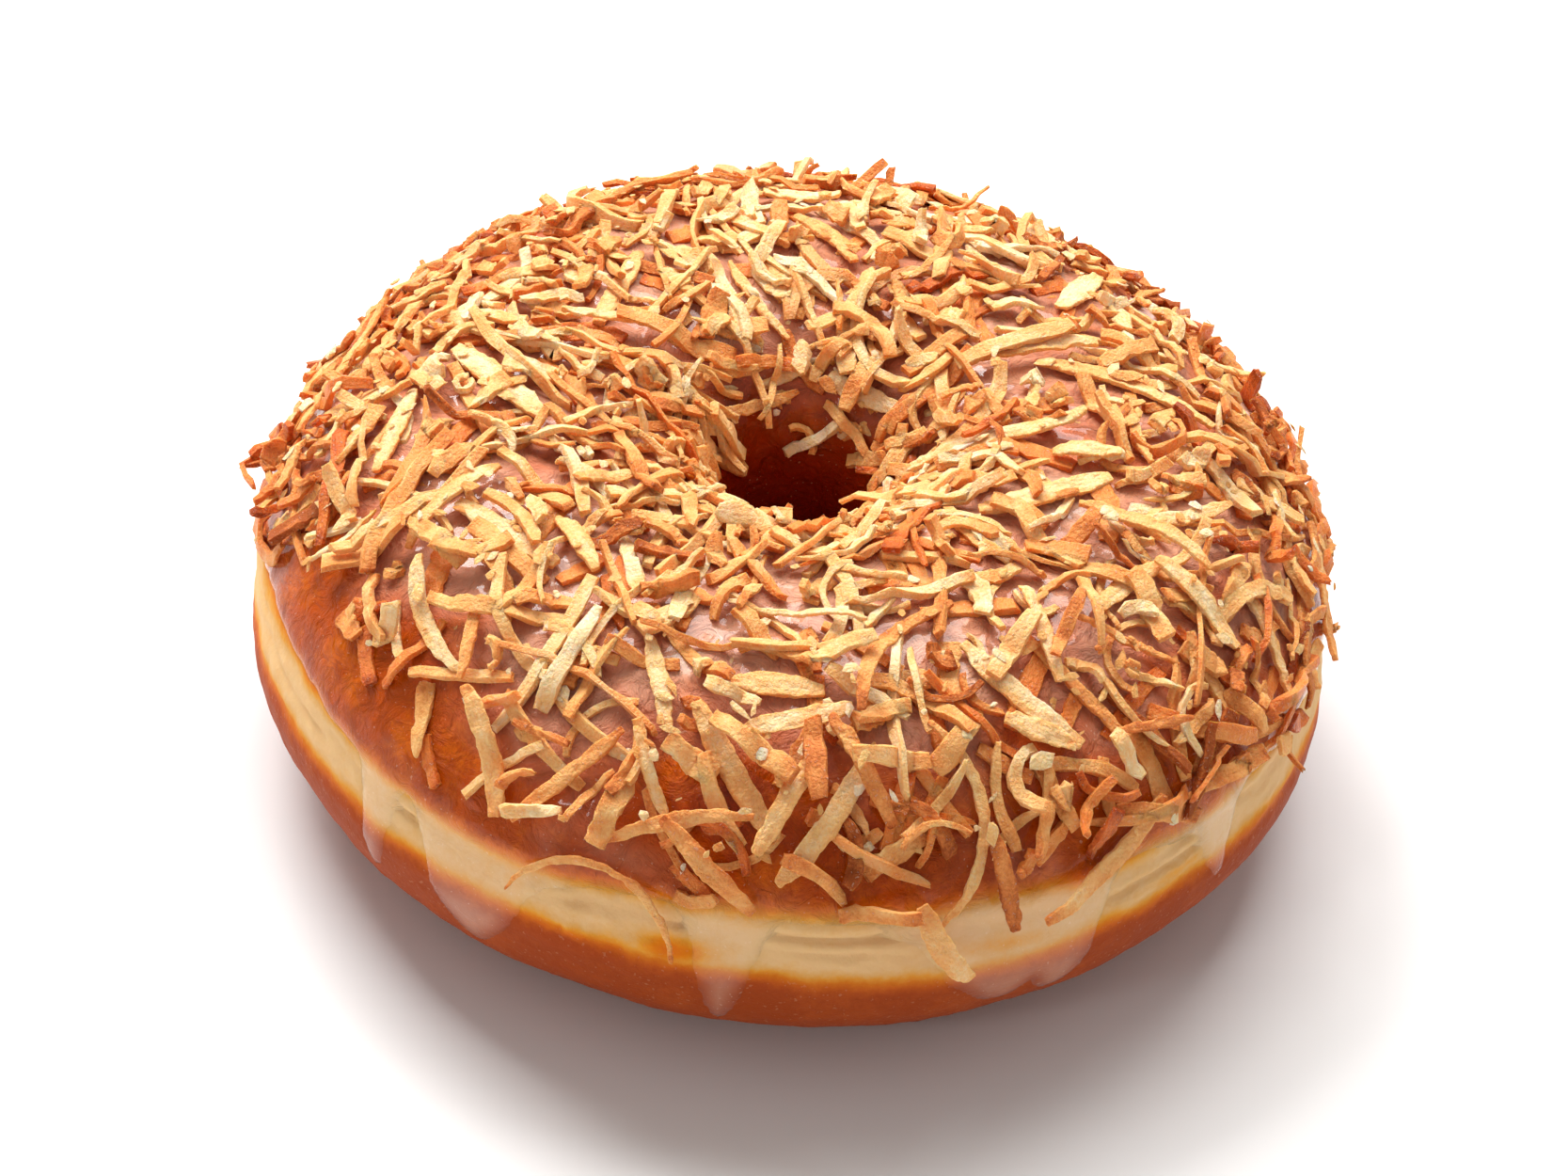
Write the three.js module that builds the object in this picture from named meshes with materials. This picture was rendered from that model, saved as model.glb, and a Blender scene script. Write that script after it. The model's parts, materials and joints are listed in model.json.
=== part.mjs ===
// Ring doughnut: one proved and fried ring of dough, a set sugar glaze over its
// top, and toasted coconut shreds stuck in the glaze. Millimetres, +Z up. The
// doughnut stands on its flat foot at z = 0, with the ring's axis on Z and its
// front towards -Y. Bearings are degrees round that axis from +X, and section
// angles are degrees round the ring's own section: 0 outermost, 90 the crest,
// 180 the wall of the hole, 270 the foot.

import * as THREE from 'three';

// The ring of dough.
const OUTER_DIAMETER = 93.4;
const HOLE_DIAMETER = 14;
const DOUGH_HEIGHT = 33.4;
const GIRTH_HEIGHT = 13.4;      // height of the widest line above the table
const FOOT_FLATTENING = 1.4;    // depth of dough pressed flat where it lay in the oil
const CREST_PLACE = 0.4;        // crest line, from the hole's wall to the outside
const OUTER_FULLNESS = 2.15;    // superellipse exponents: 2 is an ellipse, more is fuller
const INNER_FULLNESS = 2.8;

// Places where the proved ring is a little fuller or flatter than a true circle.
const OUTLINE_SWELLS = [
  { bearing: 152, size: -1.5, spread: 26 },
  { bearing: -150, size: -0.5, spread: 20 },
  { bearing: -15, size: 0.5, spread: 25 },
  { bearing: 80, size: 0.5, spread: 30 },
];

// The glaze, and the runs where it flowed down over the side.
const GLAZE_THICKNESS = 0.6;
const GLAZE_GAP = 0.3;
const GLAZE_EDGE_ANGLE = 17;
const GLAZE_INNER_ANGLE = 195;
const GLAZE_RUNS = [
  { bearing: -118, reach: 20, spread: 12 },
  { bearing: -92, reach: 17, spread: 10 },
  { bearing: -62, reach: 20, spread: 13 },
  { bearing: -34, reach: 9, spread: 10 },
  { bearing: 28, reach: 8, spread: 14 },
  { bearing: 80, reach: 12, spread: 14 },
  { bearing: 126, reach: 14, spread: 13 },
  { bearing: 172, reach: 6, spread: 12 },
];

// The shreds of coconut.
const SHRED_THICKNESS = 0.65;
const SHRED_CLEARANCE = 0.25;
const SHRED_CLIMB = 0.5;        // steepest slope at which a shred climbs over another
const SHRED_STATION = 2.2;      // spacing of the sections along a shred
const SHRED_TIP_SHARE = 0.55;   // width of a shred's end next to its middle

// Facets of the meshes. The dough and the glaze share their bearings, and their
// section angles above GLAZE_LEVEL_ANGLE, so that their facets stay parallel.
const RING_STEPS = 56;
const SECTION_STEP_ANGLE = 15;
const GLAZE_LEVEL_ANGLE = 45;
const GLAZE_EDGE_ROWS = 4;

const COLOURS = {
  dough: { color: 0xd98f45, roughness: 0.7 },
  glaze: { color: 0xd9824a, roughness: 0.2 },
  pale: { color: 0xf6d59a, roughness: 0.8 },
  golden: { color: 0xe8aa5c, roughness: 0.8 },
  toasted: { color: 0xc07036, roughness: 0.8 },
};

// The larger shreds, from the bottom of the pile up: bearing and section angle of
// the middle, heading (0 runs round the ring, 90 climbs towards the hole), length,
// width, bend along the length in degrees, the rise of the two ends off the
// surface, and the colour it was toasted to.
const SHREDS = [
  [-142, 75, 13, 12, 2.6, 0, 0, 0, 'pale'],
  [-153, 69, -68, 11, 2.0, 30, 0.5, 0, 'golden'],
  [-138, 50, -21, 12, 2.2, 60, 0, 0, 'pale'],
  [-131, 54, -53, 7.5, 1.7, -25, 0, 0, 'toasted'],
  [-131, 83, -18, 8, 2.2, -15, 0, 0, 'pale'],
  [-151, 100, 85, 9, 1.6, 10, 0, 0, 'toasted'],
  [-157, 46, 85, 7.5, 1.2, 20, 0.6, 0.6, 'pale'],
  [-121, 37, -50, 11, 2.4, -45, 0, 0.4, 'golden'],
  [-112, 39, 58, 11.5, 1.9, 0, 0.4, 0.6, 'golden'],
  [-106, 64, -58, 9, 2.2, -10, 0, 0, 'pale'],
  [-103, 44, -55, 8, 1.7, 10, 0, 0.5, 'golden'],
  [-94, 48, -50, 13, 2.6, 8, 0, 0, 'golden'],
  [-90, 68, 0, 8, 2.6, -10, 0, 0, 'pale'],
  [-87, 60, 18, 9.5, 2.4, 0, 0, 0, 'pale'],
  [-105, 23, -10, 20, 1.3, -150, 0.7, 0.5, 'golden'],
  [-99, 37, 20, 12, 1.9, -30, 0.2, 0.4, 'golden'],
  [-95, 29, -38, 10.5, 2.3, -10, 0, 0.3, 'golden'],
  [-88, 43, -118, 9, 2.3, 0, 0, 0.4, 'golden'],
  [-83, 40, -125, 13, 2.4, -20, 0, 0.6, 'pale'],
  [-79, 50, -62, 10, 2.0, -20, 0, 0.6, 'toasted'],
  [-74, 77, -135, 16, 1.9, 75, 0.5, 0.3, 'toasted'],
  [-86, 84, -10, 10, 1.3, -30, 0.4, 0.4, 'golden'],
  [-66, 37, -97, 19, 1.6, -110, 0.8, 1.2, 'pale'],
  [-65, 24, -82, 8.5, 2.2, 0, 0, 1.0, 'toasted'],
  [-53, 20, 22, 15, 2.2, 35, 0.4, 0.4, 'golden'],
  [-72, 13, -58, 8.5, 2.6, 30, 0.8, 0.4, 'pale'],
  [-57, 60, -63, 13, 2.6, 25, 0, 0, 'pale'],
  [-57, 52, -37, 6.5, 2.4, 0, 0, 0.4, 'pale'],
  [-49, 57, -73, 13, 1.7, 20, 0, 0.3, 'toasted'],
  [-49, 71, -110, 10, 1.9, 0, 0, 0.3, 'golden'],
  [-39, 62, -50, 11, 1.3, -20, 0.3, 0.6, 'toasted'],
  [-31, 70, -5, 8.5, 2.4, -20, 0.2, 0.4, 'golden'],
  [-25, 57, -93, 10, 2.4, -10, 0, 0.5, 'golden'],
  [-19, 40, -115, 11, 1.9, -35, 0, 0.6, 'pale'],
  [-43, 44, -15, 8, 1.6, 0, 0, 1.2, 'toasted'],
  [-19, 91, -41, 13, 2.8, 12, 0, 0, 'pale'],
  [-12, 68, -43, 12, 2.0, 25, 0.3, 0.5, 'golden'],
  [-20, 73, -91, 12, 2.0, -35, 0.3, 0.3, 'golden'],
  [-4, 27, -160, 14, 2.4, -15, 0.3, 1.0, 'golden'],
  [-4, 88, 95, 6, 2.4, 0, 0, 0, 'pale'],
  [2, 108, -85, 17, 2.2, 20, 0.3, 2.0, 'golden'],
  [19, 77, -124, 17, 2.2, -30, 0, 0.5, 'golden'],
  [31, 90, -99, 11, 2.2, 10, 0.3, 0.3, 'pale'],
  [5, 79, -170, 8.5, 1.6, 15, 0.3, 0.3, 'toasted'],
  [45, 69, -68, 9, 2.8, 0, 0, 0.4, 'pale'],
  [44, 50, -60, 9, 1.4, -90, 0.6, 1.6, 'toasted'],
  [29, 44, -100, 8, 1.6, 0, 0, 2.6, 'pale'],
  [60, 132, 0, 9, 2.4, 0, 0, 0, 'pale'],
  [94, 69, 0, 7.5, 2.6, 0, 0.6, 0.6, 'pale'],
  [88, 85, 135, 9, 2.2, -60, 0.4, 0.3, 'golden'],
  [72, 56, -130, 6, 1.3, 0, 0, 3.0, 'toasted'],
  [120, 139, 0, 10, 1.7, 0, 0, 0, 'toasted'],
  [109, 104, 110, 10, 1.6, 30, 0.2, 0, 'golden'],
  [139, 90, 26, 11.5, 2.4, 0, 0, 0, 'pale'],
  [149, 97, 130, 11, 1.6, 40, 0.4, 0.2, 'golden'],
  [178, 83, 45, 13, 3.0, 0, 0, 0, 'pale'],
  [168, 41, -10, 18, 1.9, 20, 2.0, 0.6, 'golden'],
  [-172, 63, 160, 10.5, 2.4, 0, 0, 0, 'pale'],
];

const radians = THREE.MathUtils.degToRad;
const degrees = THREE.MathUtils.radToDeg;
const power = (value, exponent) => Math.sign(value) * Math.abs(value) ** exponent;

// How strongly a feature centred on one bearing is felt at another, from 0 to 1.
function nearness(bearing, centre, spread) {
  const away = THREE.MathUtils.euclideanModulo(bearing - centre + 180, 360) - 180;
  return Math.exp(-((away / spread) ** 2));
}

// The half widths and depths of the ring's section at one bearing.
function sectionAt(bearing) {
  let outer = OUTER_DIAMETER / 2;
  for (const swell of OUTLINE_SWELLS) {
    outer += swell.size * nearness(bearing, swell.bearing, swell.spread);
  }
  const hole = HOLE_DIAMETER / 2;
  const crest = hole + CREST_PLACE * (OUTER_DIAMETER / 2 - hole);
  return {
    crest,
    outside: outer - crest,
    inside: crest - hole,
    above: DOUGH_HEIGHT - GIRTH_HEIGHT,
    below: GIRTH_HEIGHT + FOOT_FLATTENING,
  };
}

// A point of the dough's surface.
function surfacePoint(bearing, angle) {
  const section = sectionAt(bearing);
  const across = Math.cos(radians(angle));
  const upward = Math.sin(radians(angle));
  const fullness = across >= 0 ? OUTER_FULLNESS : INNER_FULLNESS;
  const width = across >= 0 ? section.outside : section.inside;
  const depth = upward >= 0 ? section.above : section.below;
  const radius = section.crest + width * power(across, 2 / fullness);
  const height = GIRTH_HEIGHT + depth * power(upward, 2 / fullness);
  return new THREE.Vector3(
    radius * Math.cos(radians(bearing)),
    radius * Math.sin(radians(bearing)),
    Math.max(height, 0),
  );
}

// The directions at a point: round the ring, up its section, and outwards.
function surfaceFrame(bearing, angle) {
  const step = 0.05;
  const round = surfacePoint(bearing + step, angle).sub(surfacePoint(bearing - step, angle));
  const climb = surfacePoint(bearing, angle + step).sub(surfacePoint(bearing, angle - step));
  round.normalize();
  const out = round.clone().cross(climb).normalize();
  return { round, climb: out.clone().cross(round), out };
}

// A point at a height above the dough's surface.
function raisedPoint(bearing, angle, height) {
  const { out } = surfaceFrame(bearing, angle);
  return surfacePoint(bearing, angle).addScaledVector(out, height);
}

// The bearing and section angle of the surface under a point close to it.
function underPoint(point) {
  const bearing = degrees(Math.atan2(point.y, point.x));
  const section = sectionAt(bearing);
  const across = Math.hypot(point.x, point.y) - section.crest;
  const upward = point.z - GIRTH_HEIGHT;
  const fullness = across >= 0 ? OUTER_FULLNESS : INNER_FULLNESS;
  const width = across >= 0 ? section.outside : section.inside;
  const depth = upward >= 0 ? section.above : section.below;
  const angle = Math.atan2(
    power(upward / depth, fullness / 2),
    power(across / width, fullness / 2),
  );
  return { bearing, angle: degrees(angle) };
}

// A closed mesh from rings of points: each ring joins the next, and the last
// either joins the first again or both ends are capped.
function meshOfRings(rings, closedLoop) {
  const count = rings[0].length;
  const positions = rings.flat().flatMap((point) => [point.x, point.y, point.z]);
  const index = [];
  const spans = closedLoop ? rings.length : rings.length - 1;
  for (let ring = 0; ring < spans; ring += 1) {
    const here = ring * count;
    const next = ((ring + 1) % rings.length) * count;
    for (let side = 0; side < count; side += 1) {
      const turn = (side + 1) % count;
      index.push(here + side, next + side, next + turn);
      index.push(here + side, next + turn, here + turn);
    }
  }
  if (!closedLoop) {
    const last = (rings.length - 1) * count;
    for (let side = 1; side < count - 1; side += 1) {
      index.push(0, side, side + 1);
      index.push(last, last + side + 1, last + side);
    }
  }
  const geometry = new THREE.BufferGeometry();
  geometry.setAttribute('position', new THREE.Float32BufferAttribute(positions, 3));
  geometry.setIndex(index);
  geometry.computeVertexNormals();
  return geometry;
}

function namedMesh(name, geometry, colour) {
  const material = new THREE.MeshStandardMaterial({ ...COLOURS[colour], metalness: 0 });
  const mesh = new THREE.Mesh(geometry, material);
  mesh.name = name;
  return mesh;
}

// The dough: the whole section carried once round the axis.
function doughRing() {
  const rings = [];
  for (let step = 0; step < RING_STEPS; step += 1) {
    const bearing = (360 * step) / RING_STEPS;
    const ring = [];
    for (let angle = 0; angle < 360; angle += SECTION_STEP_ANGLE) {
      ring.push(surfacePoint(bearing, angle));
    }
    rings.push(ring);
  }
  return namedMesh('dough_ring', meshOfRings(rings, true), 'dough');
}

// The section angle at which the glaze ends on the outside, at one bearing.
function glazeEdge(bearing) {
  let angle = GLAZE_EDGE_ANGLE;
  for (const run of GLAZE_RUNS) {
    angle -= run.reach * nearness(bearing, run.bearing, run.spread);
  }
  return angle;
}

// The glaze: a skin from its outer edge over the crest and down into the hole.
function glazeSkin() {
  const rings = [];
  for (let step = 0; step < RING_STEPS; step += 1) {
    const bearing = (360 * step) / RING_STEPS;
    const angles = [];
    for (let row = 0; row < GLAZE_EDGE_ROWS; row += 1) {
      const share = row / GLAZE_EDGE_ROWS;
      angles.push(THREE.MathUtils.lerp(glazeEdge(bearing), GLAZE_LEVEL_ANGLE, share));
    }
    for (let angle = GLAZE_LEVEL_ANGLE; angle <= GLAZE_INNER_ANGLE; angle += SECTION_STEP_ANGLE) {
      angles.push(angle);
    }
    const outer = angles.map((angle) => raisedPoint(bearing, angle, GLAZE_GAP + GLAZE_THICKNESS));
    const inner = angles.map((angle) => raisedPoint(bearing, angle, GLAZE_GAP));
    rings.push([...outer, ...inner.reverse()]);
  }
  return namedMesh('glaze', meshOfRings(rings, true), 'glaze');
}

// The line of a shred over the surface: a flat arc at its middle, laid down on
// the ring. Each station has its place, its distance along and its own heading.
function shredLine(bearing, angle, heading, length, bend) {
  const middle = surfacePoint(bearing, angle);
  const frame = surfaceFrame(bearing, angle);
  const stations = Math.max(4, Math.round(length / SHRED_STATION));
  const line = [];
  for (let step = 0; step <= stations; step += 1) {
    const along = (step / stations - 0.5) * length;
    const turned = radians(bend) * (along / length);
    const chord = Math.abs(turned) < 1e-6 ? along : (along * Math.sin(turned / 2)) / (turned / 2);
    const aim = radians(heading) + turned / 2;
    const flat = middle.clone()
      .addScaledVector(frame.round, chord * Math.cos(aim))
      .addScaledVector(frame.climb, chord * Math.sin(aim));
    line.push({ ...underPoint(flat), along, share: (2 * along) / length });
  }
  return line;
}

// The height at which each station of a shred lies, clear of the glaze and of
// every shred laid before it.
function layShred(line, width, startRise, endRise, laid) {
  const resting = GLAZE_GAP + GLAZE_THICKNESS + SHRED_CLEARANCE;
  const reach = line[1].along - line[0].along;
  const spots = line.map((station) => surfacePoint(station.bearing, station.angle));
  const heights = line.map((station) => {
    const rise = station.share < 0 ? startRise : endRise;
    return resting + rise * station.share ** 2;
  });
  for (const other of laid) {
    const apart = (width + other.width) / 2 + SHRED_CLEARANCE;
    for (let step = 0; step < spots.length - 1; step += 1) {
      for (let part = 0; part <= 4; part += 1) {
        const spot = spots[step].clone().lerp(spots[step + 1], part / 4);
        const top = other.topNear(spot, apart);
        if (top > 0) {
          const place = line[step].along + (reach * part) / 4;
          for (let rest = 0; rest < heights.length; rest += 1) {
            const away = Math.max(0, Math.abs(line[rest].along - place) - reach);
            const needed = top + SHRED_CLEARANCE - SHRED_CLIMB * away;
            heights[rest] = Math.max(heights[rest], needed);
          }
        }
      }
    }
  }
  const topNear = (spot, apart) => {
    let top = 0;
    for (let step = 0; step < spots.length - 1; step += 1) {
      for (let part = 0; part <= 4; part += 1) {
        if (spots[step].clone().lerp(spots[step + 1], part / 4).distanceTo(spot) < apart) {
          const here = THREE.MathUtils.lerp(heights[step], heights[step + 1], part / 4);
          top = Math.max(top, here + SHRED_THICKNESS);
        }
      }
    }
    return top;
  };
  return { heights, width, topNear };
}

// A shred: a flat strip with narrowed ends along its line.
function shredMesh(name, line, laid, width, colour) {
  const points = line.map((station, step) => (
    raisedPoint(station.bearing, station.angle, laid.heights[step])
  ));
  const rings = points.map((point, step) => {
    const before = points[Math.max(step - 1, 0)];
    const after = points[Math.min(step + 1, points.length - 1)];
    const along = after.clone().sub(before).normalize();
    const { out } = surfaceFrame(line[step].bearing, line[step].angle);
    const side = along.clone().cross(out).normalize();
    const up = side.clone().cross(along);
    const narrowing = SHRED_TIP_SHARE + (1 - SHRED_TIP_SHARE) * (1 - line[step].share ** 4);
    const half = (width / 2) * narrowing;
    const corner = (sideways, height) => point.clone()
      .addScaledVector(side, sideways * half)
      .addScaledVector(up, height);
    return [
      corner(1, 0),
      corner(1, SHRED_THICKNESS),
      corner(-1, SHRED_THICKNESS),
      corner(-1, 0),
    ];
  });
  return namedMesh(name, meshOfRings(rings, false), colour);
}

const doughnut = new THREE.Group();
doughnut.add(doughRing());
doughnut.add(glazeSkin());

const laidShreds = [];
SHREDS.forEach((shred, place) => {
  const [bearing, angle, heading, length, width, bend, startRise, endRise, colour] = shred;
  const line = shredLine(bearing, angle, heading, length, bend);
  const laid = layShred(line, width, startRise, endRise, laidShreds);
  laidShreds.push(laid);
  const name = `coconut_shred_${String(place + 1).padStart(2, '0')}`;
  doughnut.add(shredMesh(name, line, laid, width, colour));
});

export default doughnut;
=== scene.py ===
import json
import math

import bpy
import numpy as np
from mathutils import Matrix, Vector


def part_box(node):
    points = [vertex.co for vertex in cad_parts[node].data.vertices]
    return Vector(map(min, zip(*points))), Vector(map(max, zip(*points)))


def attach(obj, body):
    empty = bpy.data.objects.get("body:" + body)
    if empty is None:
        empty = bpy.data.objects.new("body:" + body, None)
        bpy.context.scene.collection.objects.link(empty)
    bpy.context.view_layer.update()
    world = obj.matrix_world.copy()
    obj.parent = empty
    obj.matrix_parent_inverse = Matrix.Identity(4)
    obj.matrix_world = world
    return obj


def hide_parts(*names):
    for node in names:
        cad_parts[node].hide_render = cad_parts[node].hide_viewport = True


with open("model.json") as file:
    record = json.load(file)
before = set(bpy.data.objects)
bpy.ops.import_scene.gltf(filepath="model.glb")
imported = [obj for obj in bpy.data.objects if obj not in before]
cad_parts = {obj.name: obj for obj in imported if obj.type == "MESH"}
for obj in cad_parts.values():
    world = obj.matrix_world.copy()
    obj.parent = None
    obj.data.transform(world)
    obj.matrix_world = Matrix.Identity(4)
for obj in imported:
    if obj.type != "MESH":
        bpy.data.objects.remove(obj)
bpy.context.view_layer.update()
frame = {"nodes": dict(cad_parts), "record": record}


# ---------------------------------------------------------------- camera
# The camera looks down on the front of the doughnut at a little under half a
# right angle, tipped slightly, through a long lens.

MM = 0.001
GIRTH_HEIGHT = 13.4 * MM        # height of the ring's widest line
CAMERA_ELEVATION = 40.7
CAMERA_ROLL = 5.8
CAMERA_DISTANCE = 450 * MM
CAMERA_LENS = 118.3
CAMERA_RAISED = 1.4 * MM        # how far the view's centre lies above the ring's
CAMERA_ASIDE = -0.2 * MM

elevation = math.radians(CAMERA_ELEVATION)
view_line = Vector((0, math.cos(elevation), -math.sin(elevation)))
turned = view_line.to_track_quat("-Z", "Y").to_matrix() @ Matrix.Rotation(math.radians(CAMERA_ROLL), 3, "Z")
camera_place = Vector((0, 0, GIRTH_HEIGHT)) - view_line * CAMERA_DISTANCE
camera_place += turned @ Vector((CAMERA_ASIDE, CAMERA_RAISED, 0))
bpy.ops.object.camera_add(location=camera_place, rotation=turned.to_euler())
camera = bpy.context.object
camera.name = "camera"
camera.data.lens = CAMERA_LENS
camera.data.clip_start = 10 * MM
camera.data.clip_end = 20
bpy.context.scene.camera = camera
bpy.context.scene.view_settings.view_transform = "Standard"


# ---------------------------------------------------------------- studio
# A plain white table and a pale room, lit by two large soft lights from above
# and behind, and by a small weak one from the front on the left.

TABLE_WIDTH = 6.0
TABLE_BELOW = 0.05 * MM         # the table lies this far under the ring's foot
ROOM_STRENGTH = 0.39
LIGHTS = [
    # name, place, width, watts
    ("key_light", (-0.38, 0.50, 0.74), 0.45, 10.4),
    ("top_light", (0.10, 0.46, 0.84), 0.50, 6.8),
    ("left_light", (-0.60, -0.70, 0.55), 0.12, 0.6),
]


def linear(written):
    """A written #RRGGBB colour as the linear colour that shaders take."""
    parts = [int(written[place:place + 2], 16) / 255 for place in (1, 3, 5)]
    curved = [part / 12.92 if part <= 0.04045 else ((part + 0.055) / 1.055) ** 2.4 for part in parts]
    return (*curved, 1.0)


def new_material(name, **sockets):
    """A material with one Principled shader, its plain values set on its own sockets."""
    material = bpy.data.materials.new(name)
    material.use_nodes = True
    shader = material.node_tree.nodes["Principled BSDF"]
    for socket, value in sockets.items():
        shader.inputs[socket.replace("_", " ")].default_value = value
    return material, material.node_tree, shader


bpy.ops.mesh.primitive_plane_add(size=TABLE_WIDTH, location=(0, 0, -TABLE_BELOW))
table = bpy.context.object
table.name = "white_table"
table.data.materials.append(new_material("white_table", Base_Color=linear("#F1F0EF"), Roughness=0.8)[0])

room = bpy.data.worlds.new("pale_room")
bpy.context.scene.world = room
room.use_nodes = True
room.node_tree.nodes["Background"].inputs["Color"].default_value = linear("#FFFDFA")
room.node_tree.nodes["Background"].inputs["Strength"].default_value = ROOM_STRENGTH

for light_name, place, width, watts in LIGHTS:
    aim = (Vector((0, 0, GIRTH_HEIGHT)) - Vector(place)).to_track_quat("-Z", "Y")
    bpy.ops.object.light_add(type="AREA", location=place, rotation=aim.to_euler())
    light = bpy.context.object
    light.name = light_name
    light.data.size = width
    light.data.energy = watts


# ---------------------------------------------------------------- dough ring
# One ring of yeast dough, proved and fried whole. It fries dark above and
# below, and stays pale round its waist, which floated just out of the oil.

OUTER_DIAMETER = 93.4 * MM
HOLE_DIAMETER = 14 * MM
FOOT_FLATTENING = 1.4 * MM
CREST_PLACE = 0.4               # where the crest lies between the hole and the outside
OUTER_FULLNESS = 2.15           # how full the section is outside the crest, 2 being an ellipse
INNER_FULLNESS = 2.8
OUTLINE_SWELLS = [
    # bearing, size in mm, spread in degrees
    (152, -1.5, 26), (-150, -0.5, 20), (-15, 0.5, 25), (80, 0.5, 30),
]
DOUGH_STEPS_ROUND = 512
DOUGH_STEPS_SECTION = 176
BAND_MIDDLE_ANGLE = 5
ROWS_GATHERED = 36              # degrees by which rows are drawn in towards the pale band
BAND_TOP = 6.4 * MM             # the pale band's edges, above the widest line
BAND_BOTTOM = 0.9 * MM
BAND_TOP_SOFTNESS = 3.6 * MM
BAND_BOTTOM_SOFTNESS = 3.4 * MM
BAND_LIFT = 1.2 * MM            # how much higher the band reaches on the right
BAND_LIFT_BEARING, BAND_LIFT_SPREAD = -5, 45
BAND_DIP = 0.25 * MM            # how far the band is drawn in
CRUST_LIP = 0.22 * MM           # how far the upper crust stands out over it
BAND_SCORCHES = [
    # bearing, height above the widest line, width and height of the mark in mm, strength
    (-98, 1.6, 3.2, 1.6, 0.75),
    (-104, 0.8, 3.0, 1.2, 0.45),
    (-64, 2.2, 4.0, 0.9, 0.35),
    (-42, 2.4, 5.0, 0.8, 0.30),
    (-140, 1.0, 5.0, 1.0, 0.25),
    (20, 1.5, 7.0, 1.0, 0.35),
    (96, 2.0, 6.0, 1.2, 0.40),
]
BAND_CREASES = [
    # first and last bearing, height above the widest line in mm, depth in mm, width in mm
    (-101, -66, 4.8, 0.42, 0.30),
    (-90, -74, 3.4, 0.20, 0.30),
    (-54, -32, 3.4, 0.40, 0.32),
    (-47, -28, 5.2, 0.30, 0.30),
    (-140, -112, 4.4, 0.35, 0.35),
    (-165, -142, 3.6, 0.30, 0.40),
    (10, 60, 4.2, 0.55, 0.30),
    (85, 150, 3.9, 0.60, 0.30),
    (165, 200, 4.6, 0.50, 0.30),
]
CREASE_FADING = 6               # degrees over which a crease fades out at its ends
TORN_BEARING, TORN_SPREAD = -105, 6     # where the skin of the band tore into fibres
HOLE_SHADE_RADIUS = 11.5 * MM   # inside this the crust is painted a deep red-brown: painted shade down the hole
FIRST_CELL = 4096               # far enough out that no cell of a pattern has a number below zero


def lumps(points, cell, seed=0):
    """Soft random lumps about one cell across, from -1 to 1, at each point."""
    place = np.asarray(points) / cell + FIRST_CELL
    corner = np.floor(place).astype(np.int64)
    part = place - corner
    part = part * part * (3 - 2 * part)
    total = np.zeros(len(place))
    for dx in (0, 1):
        for dy in (0, 1):
            for dz in (0, 1):
                key = (corner[:, 0] + dx) * 73856093 ^ (corner[:, 1] + dy) * 19349663
                key ^= (corner[:, 2] + dz) * 83492791 ^ (seed * 97 + 11) * 2654435761
                key = (key ^ (key >> 13)) * 1274126177
                value = ((key ^ (key >> 16)) & 0xFFFFFF) / 0x7FFFFF - 1
                share = (part[:, 0] if dx else 1 - part[:, 0]) * (part[:, 1] if dy else 1 - part[:, 1])
                total += value * share * (part[:, 2] if dz else 1 - part[:, 2])
    return total


def eased(value):
    """A share that eases from 0 to 1 and stays there."""
    share = np.clip(value, 0, 1)
    return share * share * (3 - 2 * share)


def apart(bearing, centre):
    """Degrees from a centre bearing to a bearing, from -180 to 180."""
    return (np.asarray(bearing) - centre + 180) % 360 - 180


def power(value, exponent):
    """A power that keeps the value's sign."""
    return np.sign(value) * np.abs(value) ** exponent


def ring_half_width(bearing):
    """The ring's outer radius at a bearing."""
    radius = np.full(np.shape(bearing), OUTER_DIAMETER / 2)
    for centre, size, spread in OUTLINE_SWELLS:
        radius = radius + size * MM * np.exp(-((apart(bearing, centre) / spread) ** 2))
    return radius


CREST_RADIUS = HOLE_DIAMETER / 2 + CREST_PLACE * (OUTER_DIAMETER - HOLE_DIAMETER) / 2
dough_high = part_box("dough_ring")[1]
ABOVE = dough_high[2] - GIRTH_HEIGHT
BELOW = GIRTH_HEIGHT + FOOT_FLATTENING


def ring_point(bearing, angle):
    """Points of the dough's plain surface. Section angle 0 is outermost, 90 the crest, 180 the hole."""
    bearing, angle = np.broadcast_arrays(np.asarray(bearing, float), np.asarray(angle, float))
    across, upward = np.cos(np.radians(angle)), np.sin(np.radians(angle))
    fullness = np.where(across >= 0, OUTER_FULLNESS, INNER_FULLNESS)
    width = np.where(across >= 0, ring_half_width(bearing) - CREST_RADIUS, CREST_RADIUS - HOLE_DIAMETER / 2)
    depth = np.where(upward >= 0, ABOVE, BELOW)
    radius = CREST_RADIUS + width * power(across, 2 / fullness)
    height = np.maximum(GIRTH_HEIGHT + depth * power(upward, 2 / fullness), 0)
    round_place = np.radians(bearing)
    return np.stack([radius * np.cos(round_place), radius * np.sin(round_place), height], axis=-1)


def unit(vectors):
    """The same directions, one long."""
    return vectors / np.maximum(np.linalg.norm(vectors, axis=-1, keepdims=True), 1e-12)


def ring_directions(bearing, angle):
    """The directions round the ring, up its section and outwards, at points of its surface."""
    step = 0.05
    round_way = unit(ring_point(bearing + step, angle) - ring_point(bearing - step, angle))
    climb = ring_point(bearing, angle + step) - ring_point(bearing, angle - step)
    out = unit(np.cross(round_way, climb))
    return round_way, np.cross(out, round_way), out


BAKING_NAMES = ("baking", "lying_below", "in_shaded_hole")


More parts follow.
